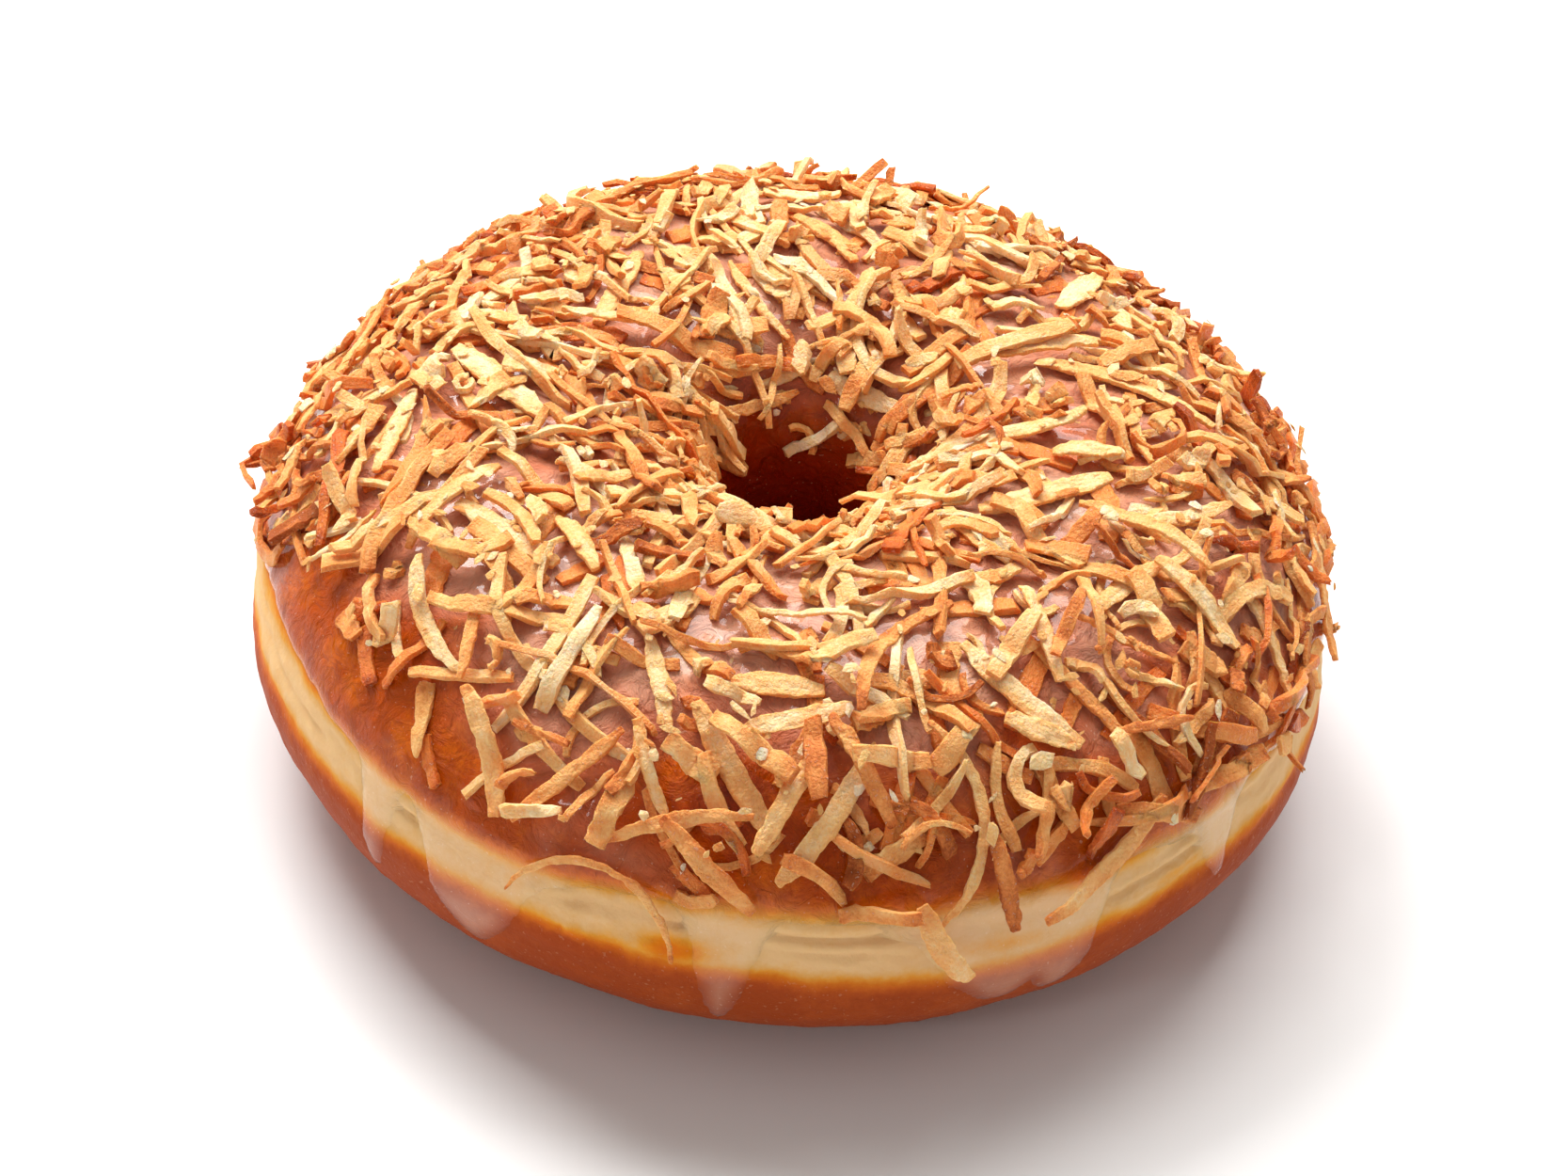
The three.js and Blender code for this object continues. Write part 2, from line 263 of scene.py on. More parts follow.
def baking_at(bearing, points):
    """How far the dough is browned, how far it belongs to the lower crust, and how far it lies down the hole,
    where shade is painted.
    """
    height = points[:, 2] - GIRTH_HEIGHT
    radius = np.hypot(points[:, 0], points[:, 1])
    wander = lumps(points * (1, 1, 0.3), 9 * MM, 3) * 0.7 * MM + lumps(points, 2.6 * MM, 4) * 0.35 * MM
    lift = BAND_LIFT * np.exp(-((apart(bearing, BAND_LIFT_BEARING) / BAND_LIFT_SPREAD) ** 2))
    above = eased((height - BAND_TOP - lift + wander) / BAND_TOP_SOFTNESS + 0.5)
    below = eased((BAND_BOTTOM - height + 0.8 * wander) / BAND_BOTTOM_SOFTNESS + 0.5)
    baking = np.maximum(above, below)
    for centre, up, wide, high, strength in BAND_SCORCHES:
        aside = np.radians(apart(bearing, centre)) * OUTER_DIAMETER / 2 / (wide * MM)
        over = (height + wander - up * MM) / (high * MM)
        baking = np.maximum(baking, strength * np.exp(-aside ** 2 - over ** 2))
    baking = np.where(radius < CREST_RADIUS, 1.0, baking)
    # How far a point lies down in the hole, where shade is painted into the crust's colour.
    in_shaded_hole = eased((HOLE_SHADE_RADIUS - radius) / (5 * MM)) * eased((height + 14 * MM) / (6 * MM))
    return baking, eased((2 * MM - height) / (4 * MM)), in_shaded_hole


def band_share(points):
    """How far a point belongs to the pale band on the outside of the ring."""
    height = points[:, 2] - GIRTH_HEIGHT
    outside = np.hypot(points[:, 0], points[:, 1]) > CREST_RADIUS
    inside_edges = eased((height + 1 * MM) / (2 * MM)) * eased((BAND_TOP + 1 * MM - height) / (2 * MM))
    return np.where(outside, inside_edges, 0)


def dough_relief(bearing, points):
    """How far the real surface stands off the plain one: soft swells and the lip of the crust."""
    height = points[:, 2] - GIRTH_HEIGHT
    soft = 0.35 * lumps(points, 15 * MM, 5) + 0.20 * lumps(points * (1, 1, 1.4), 7 * MM, 6)
    relief = soft * MM * eased(points[:, 2] / (4 * MM))
    lip = np.exp(-(((height - BAND_TOP) / (1.1 * MM)) ** 2))
    outside = np.hypot(points[:, 0], points[:, 1]) > CREST_RADIUS
    return relief + np.where(outside, CRUST_LIP * lip - BAND_DIP * band_share(points), 0)


def dough_grain(bearing, points):
    """The finer relief: creases, soft wrinkles and torn fibres in the band, pebbling on the crust."""
    height = points[:, 2] - GIRTH_HEIGHT
    band = band_share(points)
    stretched = points * (0.30, 0.30, 1.0)
    relief = band * MM * (0.13 * lumps(stretched, 1.2 * MM, 7) + 0.10 * lumps(stretched, 0.6 * MM, 8))
    relief += band * MM * (0.08 * lumps(points, 1.5 * MM, 13) + 0.05 * lumps(points, 0.7 * MM, 14))
    for first, last, up, depth, width in BAND_CREASES:
        ends = eased(apart(bearing, first) / CREASE_FADING) * eased(apart(last, bearing) / CREASE_FADING)
        line = up * MM + 0.5 * MM * lumps(points * (1, 1, 0), 7 * MM, int(abs(first)))
        across = (height - line) / (width * MM)
        relief -= depth * MM * ends * np.exp(-across ** 2)
        relief += 0.35 * depth * MM * ends * np.exp(-((np.abs(across) - 2.6) / 1.8) ** 2)
    torn = np.exp(-((apart(bearing, TORN_BEARING) / TORN_SPREAD) ** 2)) * band
    upright = points * (1.0, 1.0, 0.35)
    relief += torn * MM * (0.45 * lumps(upright, 0.9 * MM, 9) + 0.25 * lumps(upright, 0.45 * MM, 10))
    crust = (1 - band) * eased(points[:, 2] / (1 * MM))
    return relief + crust * MM * (0.07 * lumps(points, 1.3 * MM, 11) + 0.04 * lumps(points, 0.6 * MM, 12))


def vertices_of(mesh):
    """The places of a mesh's vertices."""
    points = np.empty(3 * len(mesh.vertices), dtype=np.float32)
    mesh.vertices.foreach_get("co", points)
    return points.reshape(-1, 3).astype(float)


def give(mesh, name, values):
    """Stores one number, or one place, for each vertex of a mesh."""
    values = np.asarray(values, dtype=np.float32)
    kind, entry = ("FLOAT", "value") if values.ndim == 1 else ("FLOAT_VECTOR", "vector")
    mesh.attributes.new(name, kind, "POINT").data.foreach_set(entry, values.ravel())


def choose(piece):
    """Makes a piece the only one selected, and the active one."""
    bpy.ops.object.select_all(action="DESELECT")
    piece.select_set(True)
    bpy.context.view_layer.objects.active = piece


def turn_outwards(piece):
    """Turns all of a piece's faces outwards."""
    choose(piece)
    bpy.ops.object.mode_set(mode="EDIT")
    bpy.ops.mesh.select_all(action="SELECT")
    bpy.ops.mesh.normals_make_consistent(inside=False)
    bpy.ops.object.mode_set(mode="OBJECT")


def closed_ring(name, steps_round, steps_section):
    """A torus of one closed skin, ready to be reshaped, and the numbers of each vertex's steps."""
    bpy.ops.object.select_all(action="DESELECT")
    bpy.ops.mesh.primitive_torus_add(
        major_segments=steps_round // 2, minor_segments=steps_section // 2,
        major_radius=CREST_RADIUS, minor_radius=CREST_RADIUS / 2,
    )
    ring = bpy.context.object
    ring.name = name
    ring.data.name = name
    bpy.ops.object.mode_set(mode="EDIT")
    bpy.ops.mesh.select_all(action="SELECT")
    bpy.ops.mesh.subdivide(number_cuts=1)
    bpy.ops.object.mode_set(mode="OBJECT")
    points = vertices_of(ring.data)
    round_place = np.degrees(np.arctan2(points[:, 1], points[:, 0]))
    section_place = np.degrees(np.arctan2(points[:, 2], np.hypot(points[:, 0], points[:, 1]) - CREST_RADIUS))
    step_round = np.round(round_place / 360 * steps_round).astype(int) % steps_round
    return ring, step_round, np.round(section_place / 360 * steps_section).astype(int) % steps_section


def set_vertices(piece, points):
    """Moves a piece's vertices, then turns its faces outwards and shades them smooth."""
    piece.data.vertices.foreach_set("co", np.asarray(points, dtype=np.float32).ravel())
    piece.data.update()
    turn_outwards(piece)
    bpy.ops.object.shade_smooth()


# Where the sugar glaze ends, and where it ran down the side. The glaze fills the
# dough's fine wrinkles, so they show only below this line.
GLAZE_EDGE_ANGLE = 17
GLAZE_RUNS = [
    # bearing, degrees down the section, spread in degrees
    (-134, 30, 3.0), (-119, 40, 6.0), (-94, 38, 3.2), (-64, 30, 8.0), (-57, 36, 4.0),
    (-36, 20, 3.0), (6, 16, 4.0), (28, 12, 7.0), (55, 26, 4.5), (80, 18, 6.0),
    (104, 32, 4.5), (126, 22, 6.0), (150, 16, 5.0), (172, 10, 6.0),
]


def glaze_edge(bearing):
    """The section angle at which the glaze ends, with its wavering line and its runs."""
    circle = np.stack([np.cos(np.radians(bearing)), np.sin(np.radians(bearing)), 0 * bearing], axis=-1)
    edge = GLAZE_EDGE_ANGLE + 2.2 * lumps(circle, 0.16, 21) + 1.0 * lumps(circle, 0.05, 22)
    wander = 1.6 * lumps(circle, 0.10, 23)
    uneven = 1 + 0.10 * lumps(circle, 0.06, 24)
    run = np.zeros_like(bearing)
    for centre, reach, spread in GLAZE_RUNS:
        away = np.abs(apart(bearing + wander, centre)) / spread
        run = np.maximum(run, reach * uneven * np.exp(-away ** 2.2))
    return edge - run, run


dough, step_round, step_section = closed_ring("fried_dough", DOUGH_STEPS_ROUND, DOUGH_STEPS_SECTION)
dough_bearing = 360 * step_round / DOUGH_STEPS_ROUND
dough_angle = 360 * step_section / DOUGH_STEPS_SECTION
dough_angle = dough_angle - ROWS_GATHERED * np.sin(np.radians(dough_angle - BAND_MIDDLE_ANGLE))
dough_points = ring_point(dough_bearing, dough_angle)
dough_out = ring_directions(dough_bearing, dough_angle)[2]
# Higher up the full glaze hides the wrinkles without any help.
below_glaze = eased((glaze_edge(dough_bearing)[0] + 3 - dough_angle) / 4)
in_the_open = np.where(dough_angle > GLAZE_EDGE_ANGLE + 4, 1, below_glaze)
relief = dough_relief(dough_bearing, dough_points)
relief += dough_grain(dough_bearing, dough_points) * in_the_open
set_vertices(dough, dough_points + dough_out * relief[:, None])
for attribute, values in zip(BAKING_NAMES, baking_at(dough_bearing, dough_points)):
    give(dough.data, attribute, values)


def new_group(name, inputs, outputs):
    """An empty shader node group with named inputs and outputs."""
    group = bpy.data.node_groups.new(name, "ShaderNodeTree")
    for socket, kind in inputs:
        group.interface.new_socket(name=socket, in_out="INPUT", socket_type=kind)
    for socket, kind in outputs:
        group.interface.new_socket(name=socket, in_out="OUTPUT", socket_type=kind)
    return group, group.nodes.new("NodeGroupInput"), group.nodes.new("NodeGroupOutput")


def attribute_value(tree, name, output="Fac"):
    """A value stored on the piece's vertices."""
    node = tree.nodes.new("ShaderNodeAttribute")
    node.attribute_name = name
    return node.outputs[output]


def noise(tree, places, scale, detail=3.0, roughness=0.55, distortion=0.0):
    """A noise pattern over places, in lumps per metre."""
    pattern = tree.nodes.new("ShaderNodeTexNoise")
    pattern.inputs["Scale"].default_value = scale
    pattern.inputs["Detail"].default_value = detail
    pattern.inputs["Roughness"].default_value = roughness
    pattern.inputs["Distortion"].default_value = distortion
    tree.links.new(places, pattern.inputs["Vector"])
    return pattern.outputs["Fac"]


def spots(tree, *pattern):
    """A noise pattern on the piece's own coordinates."""
    return noise(tree, tree.nodes.new("ShaderNodeTexCoord").outputs["Object"], *pattern)


def sums(tree, operation, *entries, clamp=False):
    """One arithmetic node. Each entry is a number or another node's output."""
    node = tree.nodes.new("ShaderNodeMath")
    node.operation = operation
    node.use_clamp = clamp
    for socket, entry in zip(node.inputs, entries):
        if isinstance(entry, (int, float)):
            socket.default_value = entry
        else:
            tree.links.new(entry, socket)
    return node.outputs[0]


def scaled(tree, value, factor, more):
    """A value times a factor, and something more."""
    return sums(tree, "MULTIPLY_ADD", value, factor, more)


def ramp(tree, value, stops):
    """A colour ramp through (place, colour) stops."""
    node = tree.nodes.new("ShaderNodeValToRGB")
    while len(node.color_ramp.elements) < len(stops):
        node.color_ramp.elements.new(0.5)
    for element, (place, colour) in zip(node.color_ramp.elements, stops):
        element.position = place
        element.color = linear(colour)
    tree.links.new(value, node.inputs["Fac"])
    return node.outputs["Color"]


def blend(tree, share, first, second, kind="MIX"):
    """Two colours mixed by a share."""
    node = tree.nodes.new("ShaderNodeMix")
    node.data_type = "RGBA"
    node.blend_type = kind
    for socket, entry in ((node.inputs[0], share), (node.inputs[6], first), (node.inputs[7], second)):
        if isinstance(entry, (int, float)):
            socket.default_value = entry
        elif isinstance(entry, str):
            socket.default_value = linear(entry)
        else:
            tree.links.new(entry, socket)
    return node.outputs[2]


def bump(tree, height, strength, distance, under=None):
    """A bump node on a height, optionally over another bump."""
    node = tree.nodes.new("ShaderNodeBump")
    node.inputs["Strength"].default_value = strength
    node.inputs["Distance"].default_value = distance
    tree.links.new(height, node.inputs["Height"])
    if under is not None:
        tree.links.new(under, node.inputs["Normal"])
    return node.outputs["Normal"]


# The colour of the fried crust, with painted shade deepening it down in the hole, shared by the dough and by
# the clear glaze over it.
crust_group, crust_in, crust_out = new_group(
    "fried_crust_colour",
    [("Baking", "NodeSocketFloat"), ("Lying below", "NodeSocketFloat"), ("In the shaded hole", "NodeSocketFloat")],
    [("Colour", "NodeSocketColor")],
)
uneven = scaled(crust_group, spots(crust_group, 140, 4, 0.6), 0.60, -0.30)
uneven = scaled(crust_group, spots(crust_group, 900, 3, 0.6), 0.26, uneven)
uneven = scaled(crust_group, spots(crust_group, 2600, 2), 0.16, uneven)
uneven = sums(crust_group, "SUBTRACT", uneven, 0.21)
browned = sums(crust_group, "ADD", crust_in.outputs["Baking"], uneven, clamp=True)
upper = ramp(crust_group, browned, [
    (0.00, "#E8BC84"), (0.18, "#E4AE68"), (0.38, "#E69C30"),
    (0.58, "#E28000"), (0.80, "#DC6A00"), (1.0, "#BA4A00"),
])
lower = ramp(crust_group, browned, [
    (0.00, "#E8BC84"), (0.18, "#E1A964"), (0.38, "#D98B40"),
    (0.58, "#C66424"), (0.80, "#B24F18"), (1.0, "#9E3F0E"),
])
both = blend(crust_group, crust_in.outputs["Lying below"], upper, lower)
# Down in the hole the colour turns a deep red-brown: painted shade.
both = blend(crust_group, crust_in.outputs["In the shaded hole"], both, "#8A1A01")
crust_group.links.new(both, crust_out.inputs["Colour"])


def crust_colour(tree):
    """The crust's colour, from the piece's own baking."""
    node = tree.nodes.new("ShaderNodeGroup")
    node.node_tree = crust_group
    for name, socket in zip(BAKING_NAMES, node.inputs):
        tree.links.new(attribute_value(tree, name), socket)
    return node.outputs["Colour"]


fried, tree, shader = new_material(
    "fried_dough", Subsurface_Weight=0.15, Subsurface_Scale=2 * MM, Specular_IOR_Level=0.15,
)
shader.inputs["Subsurface Radius"].default_value = (1.0, 0.5, 0.2)
crust = crust_colour(tree)
specks = sums(tree, "GREATER_THAN", spots(tree, 2600, 1, 0.4), 0.70)
specks = sums(tree, "MULTIPLY", specks, sums(tree, "MULTIPLY", attribute_value(tree, "baking"), 0.18))
tree.links.new(blend(tree, specks, crust, "#E9B48A"), shader.inputs["Base Color"])
shine = scaled(tree, attribute_value(tree, "baking"), -0.12, 0.66)
tree.links.new(scaled(tree, spots(tree, 700), 0.14, shine), shader.inputs["Roughness"])
pores = bump(tree, spots(tree, 1700, 3, 0.6), 0.60, 0.14 * MM)
pebbles = bump(tree, spots(tree, 480, 4, 0.6), 0.50, 0.35 * MM, pores)
tree.links.new(pebbles, shader.inputs["Normal"])
dough.data.materials.append(fried)
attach(dough, "root")
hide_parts("dough_ring")


# ---------------------------------------------------------------- glaze
# A film of sugar glaze, dipped on while warm. It set clear where it is thin and
# milky where it pooled, crinkled as it dried, and ran down the side in places.

GLAZE_STEPS_ROUND = 512
GLAZE_ROWS = 176                # rows of the outer skin, from below the longest run into the hole
GLAZE_BACK_ROWS = 14            # rows of the skin inside the crust
GLAZE_LOWEST_ANGLE = -28        # the section angles between which the skins lie
GLAZE_INNER_ANGLE = 195
GLAZE_FULL = 0.72 * MM          # the glaze's full thickness
RUN_FULL = 0.22 * MM            # the same, where it ran down the side
CRINKLE_DEPTH = 0.24 * MM
GLAZE_SUNK = 0.75 * MM          # how far its back lies inside the crust
EDGE_SUNK = 0.45 * MM           # how far its skin dips into the crust beyond its edge
GLAZE_ROUNDING = 2.2 * MM       # how far from its edge the glaze reaches its full thickness
HOLE_FADING = 12                # degrees over which it thins out down in the hole
FULL_RUN = 14                   # degrees below the edge at which it counts as a run
EDGE_FADING = 4                 # degrees above and below its usual edge where film turns to runs
CLEAR_BELOW, CLEAR_ABOVE = 16, 150      # the section angles past which the glaze is clear
MILKY_ABOVE = 42                # and the one past which it is milky
EDGE_REACH = 14                 # columns to each side that are searched for the nearest edge
MILKY_PLACES = [
    # bearing, section angle, degrees wide and high, milkiness
    (-104, 71, 4, 6, 0.95), (-124, 58, 9, 10, 0.62), (-132, 68, 8, 8, 0.50), (-117, 46, 7, 7, 0.45),
    (22, 44, 12, 9, 0.85), (8, 38, 10, 10, 0.60), (-14, 42, 10, 9, 0.62), (-26, 50, 8, 8, 0.45),
    (172, 40, 12, 12, 0.70), (-178, 30, 8, 8, 0.55), (-166, 58, 10, 8, 0.50), (150, 40, 14, 10, 0.55),
    (-72, 70, 6, 8, 0.45), (-44, 47, 7, 7, 0.50), (-50, 60, 6, 6, 0.35), (88, 60, 20, 14, 0.55),
    (62, 80, 12, 12, 0.40), (120, 70, 14, 12, 0.45), (-84, 72, 6, 6, 0.30), (-155, 72, 10, 8, 0.45),
]
CLEAR_PLACES = [
    (-147, 30, 22, 15, 1.0), (-125, 30, 10, 8, 0.6), (-85, 32, 24, 13, 0.8), (-52, 32, 12, 9, 0.7),
]


def glaze_places(bearing, angle, places):
    """The strongest of a list of soft-edged places, at each bearing and section angle."""
    share = np.zeros(np.shape(bearing))
    for centre, level, wide, high, strength in places:
        away = (apart(bearing, centre) / wide) ** 2 + ((angle - level) / high) ** 2
        share = np.maximum(share, strength * np.exp(-away))
    return share


def edge_distance(points, columns):
    """How far each point lies from the glaze's edge line, which has one corner for each column."""
    bearing = 360 * np.arange(GLAZE_STEPS_ROUND) / GLAZE_STEPS_ROUND
    corners = ring_point(bearing, glaze_edge(bearing)[0])
    nearest = np.full(len(points), np.inf)
    for shift in range(-EDGE_REACH, EDGE_REACH):
        start = corners[(columns + shift) % GLAZE_STEPS_ROUND]
        side = corners[(columns + shift + 1) % GLAZE_STEPS_ROUND] - start
        share = np.clip(((points - start) * side).sum(axis=1) / (side * side).sum(axis=1), 0, 1)
        nearest = np.minimum(nearest, np.linalg.norm(points - start - side * share[:, None], axis=1))
    return nearest


glaze, step_round, step_section = closed_ring("sugar_glaze", GLAZE_STEPS_ROUND, GLAZE_ROWS + GLAZE_BACK_ROWS)
glaze_bearing = 360 * step_round / GLAZE_STEPS_ROUND
edge_angle, run_reach = glaze_edge(glaze_bearing)
on_top = step_section < GLAZE_ROWS
way_up = np.where(
    on_top,
    step_section / (GLAZE_ROWS - 1),
    1 - (step_section - GLAZE_ROWS + 1) / (GLAZE_BACK_ROWS + 1),
)
glaze_angle = GLAZE_LOWEST_ANGLE + (GLAZE_INNER_ANGLE - GLAZE_LOWEST_ANGLE) * way_up
plain_points = ring_point(glaze_bearing, glaze_angle)
glaze_out = ring_directions(glaze_bearing, glaze_angle)[2]
in_run = np.clip(run_reach / FULL_RUN, 0, 1)
from_edge = edge_distance(plain_points, step_round)
from_edge = np.where(glaze_angle > edge_angle, from_edge, -from_edge)
rounded = np.clip(from_edge / GLAZE_ROUNDING, 0, 1)
from_hole = (GLAZE_INNER_ANGLE - glaze_angle) / HOLE_FADING
feather = np.sqrt(rounded * (2 - rounded)) * eased(from_hole)
wavy = 0.20 * lumps(plain_points, 9 * MM, 31) + 0.20 * lumps(plain_points, 4 * MM, 32)
crinkle = np.abs(lumps(plain_points * (1, 1, 0.6), 2.2 * MM, 33))
crinkle = crinkle + 0.6 * np.abs(lumps(plain_points, 1.2 * MM, 34))
calm = glaze_places(glaze_bearing, glaze_angle, CLEAR_PLACES)
below_edge = eased((GLAZE_EDGE_ANGLE + EDGE_FADING - glaze_angle) / (2 * EDGE_FADING))
film = GLAZE_FULL * (1 + wavy) - CRINKLE_DEPTH * crinkle * (1 - 0.8 * calm) * (1 - below_edge)
film = film * (1 - below_edge) + RUN_FULL * below_edge
dip = np.clip(0.7 * from_edge, -EDGE_SUNK, 0)
stand_off = np.where(on_top, film * feather + dip, -GLAZE_SUNK)
dough_under = dough_relief(glaze_bearing, plain_points) * below_edge
set_vertices(glaze, plain_points + glaze_out * (stand_off + dough_under)[:, None])

for attribute, values in zip(BAKING_NAMES, baking_at(glaze_bearing, plain_points)):
    give(glaze.data, attribute, values)

# It is clear low on the side, milky over the top, and clear again down in the hole.
milk = 0.05 + 0.42 * eased((glaze_angle - MILKY_ABOVE) / 26)
milk = milk + 0.28 * lumps(plain_points, 7 * MM, 41) + 0.14 * lumps(plain_points, 2.5 * MM, 42)
milk = np.clip(milk * (1 - calm) - 0.10 * calm, 0, 1) * eased((glaze_angle - CLEAR_BELOW) / 12)
milk = np.maximum(milk, glaze_places(glaze_bearing, glaze_angle, MILKY_PLACES))
run_milk = 0.10 + 0.18 * eased((GIRTH_HEIGHT + 1 * MM - plain_points[:, 2]) / (3 * MM))
milk = np.maximum(milk, run_milk * in_run * below_edge) * eased(from_edge / (2.0 * MM))
give(glaze.data, "milk", np.clip(milk, 0, 1) * eased((CLEAR_ABOVE - glaze_angle) / 45))
give(glaze.data, "calm", calm)
give(glaze.data, "run", in_run * below_edge)

glazed, tree, shader = new_material(
    "sugar_glaze", Coat_Roughness=0.06, Coat_IOR=1.34, Specular_IOR_Level=0.06,
    Subsurface_Weight=0.15, Subsurface_Scale=2 * MM,
)
shader.inputs["Subsurface Radius"].default_value = (1.0, 0.5, 0.2)
crust = crust_colour(tree)
streaks = spots(tree, 330, 4, 0.62, 0.6)
wisps = scaled(tree, streaks, 0.9, -0.45)
patchy = scaled(tree, wisps, 0.9, 1.0)
cloudy = sums(tree, "MULTIPLY", attribute_value(tree, "milk"), patchy, clamp=True)
milky = blend(tree, cloudy, crust, "#F0C4A6")
sugar = sums(tree, "GREATER_THAN", spots(tree, 3000, 1, 0.4), 0.735)
sugared = blend(tree, sums(tree, "MULTIPLY", sugar, 0.2), milky, "#FFE6C8")
tree.links.new(sugared, shader.inputs["Base Color"])
matt = scaled(tree, cloudy, 0.25, 0.26)
tree.links.new(scaled(tree, spots(tree, 1200, 3), 0.16, matt), shader.inputs["Roughness"])
wet = scaled(tree, spots(tree, 260, 3), 0.5, 0.65)
dry_hole = scaled(tree, attribute_value(tree, "in_shaded_hole"), -0.8, 1.0)
thin_film = scaled(tree, attribute_value(tree, "calm"), -0.7, 1.0)
wet = sums(tree, "MULTIPLY", sums(tree, "MULTIPLY", wet, thin_film), dry_hole)
tree.links.new(wet, shader.inputs["Coat Weight"])
grains = bump(tree, spots(tree, 2400, 2, 0.5), 0.35, 0.06 * MM)
wrinkles = scaled(tree, attribute_value(tree, "run"), -0.85, 1.0)
wrinkles = sums(tree, "MULTIPLY", spots(tree, 420, 5, 0.62, 1.8), wrinkles)
wrinkled = bump(tree, wrinkles, 1.0, 1.1 * MM, grains)
tree.links.new(wrinkled, shader.inputs["Normal"])
glaze.data.materials.append(glazed)
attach(glaze, "root")
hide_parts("glaze")


# ---------------------------------------------------------------- large shreds
# The longest and broadest shreds of dried coconut, cut as flat strips, toasted
# until golden and dropped on the wet glaze. Each keeps the place of its CAD node.

TONE_OF_SLOT = {"pale_coconut": 0.30, "golden_coconut": 0.38, "toasted_coconut": 0.58}
SIDE_ANGLE = 60                 # below this section angle the shreds are painted browner: painted shade on the ring's side
SIDE_FADING = 30
SHRED_SUNK = 0.22 * MM
SHRED_BEVEL = 0.07 * MM
SHRED_TRIM = 0.42 * MM          # its cut edges, drawn in from the plain strip
SHRED_THINNED = 0.14 * MM       # its flats, drawn in likewise
EDGE_TOAST = 0.27               # how much browner the cut edges are than the flats
FIBRE_DRAW = 0.22               # how far the fibre pattern is drawn out along a shred

slot_of_node = {part["node"]: part["material_slot"] for part in frame["record"]["subparts"]}
large_shreds = sorted(node for node in frame["nodes"] if node.startswith("coconut_shred_"))


def under_point(points):
    """The bearing and section angle of the plain surface under points close to it."""
    bearing = np.degrees(np.arctan2(points[..., 1], points[..., 0]))
    across = np.hypot(points[..., 0], points[..., 1]) - CREST_RADIUS
    upward = points[..., 2] - GIRTH_HEIGHT
    fullness = np.where(across >= 0, OUTER_FULLNESS, INNER_FULLNESS)
    width = np.where(across >= 0, ring_half_width(bearing) - CREST_RADIUS, CREST_RADIUS - HOLE_DIAMETER / 2)
    depth = np.where(upward >= 0, ABOVE, BELOW)
    angle = np.arctan2(power(upward / depth, fullness / 2), power(across / width, fullness / 2))
    return bearing, np.degrees(angle)


def on_side(angle):
    """How far a shred at a section angle counts as lying on the ring's side."""
    return float(eased((SIDE_ANGLE - angle) / SIDE_FADING))


coconut, tree, shader = new_material(
    "toasted_coconut", Subsurface_Weight=0.45, Subsurface_Scale=0.9 * MM, Specular_IOR_Level=0.22,
)
shader.inputs["Subsurface Radius"].default_value = (1.0, 0.6, 0.3)


def fibres(tree, *pattern):
    """A noise pattern drawn out along each shred, from the piece's own fibre places."""
    return noise(tree, attribute_value(tree, "fibre", "Vector"), *pattern)


blotches = spots(tree, 380, 3, 0.6)
streaks = fibres(tree, 1500, 3, 0.6)
grit = spots(tree, 3400, 2, 0.6)
toasted = scaled(tree, blotches, 0.34, attribute_value(tree, "toast"))
toasted = scaled(tree, streaks, 0.34, toasted)
toasted = scaled(tree, grit, 0.44, toasted)
toasted = sums(tree, "SUBTRACT", toasted, 0.56)
dry_colour = ramp(tree, toasted, [
    (0.00, "#FFE8C8"), (0.20, "#FFD8A6"), (0.40, "#FDBF7A"),
    (0.60, "#F2A25A"), (0.80, "#D67C3C"), (1.0, "#A04E1C"),
])
wet_colour = blend(tree, 0.8, dry_colour, "#F4C290", "MULTIPLY")
glazed_over = attribute_value(tree, "glazed")
sugar = sums(tree, "MULTIPLY", sums(tree, "GREATER_THAN", grit, 0.66), 0.22)
flesh = blend(tree, sugar, blend(tree, glazed_over, dry_colour, wet_colour), "#FFF1DA")
tree.links.new(flesh, shader.inputs["Base Color"])
dryness = scaled(tree, glazed_over, -0.36, 0.60)
tree.links.new(scaled(tree, streaks, 0.2, dryness), shader.inputs["Roughness"])
rough_cut = bump(tree, grit, 1.0, 0.26 * MM)
fibrous = bump(tree, fibres(tree, 2400, 4, 0.65), 1.0, 0.16 * MM, rough_cut)
tree.links.new(fibrous, shader.inputs["Normal"])


def lumps_each_way(points, cell, seed):
    """Lumps of their own along each of the three axes."""
    return np.stack([lumps(points, cell, seed + axis) for axis in range(3)], axis=-1)


def toast_along(points, tone, tip_share, seed):
    """The toasting of each vertex: the shred's own tone, patchy, and darker towards its tips."""
    patchy = 0.10 * lumps(points, 3.2 * MM, seed) + 0.05 * lumps(points, 1.1 * MM, seed + 1)
    return np.clip(tone + patchy + (0.12 + 0.2 * tone) * tip_share ** 5, 0, 1)


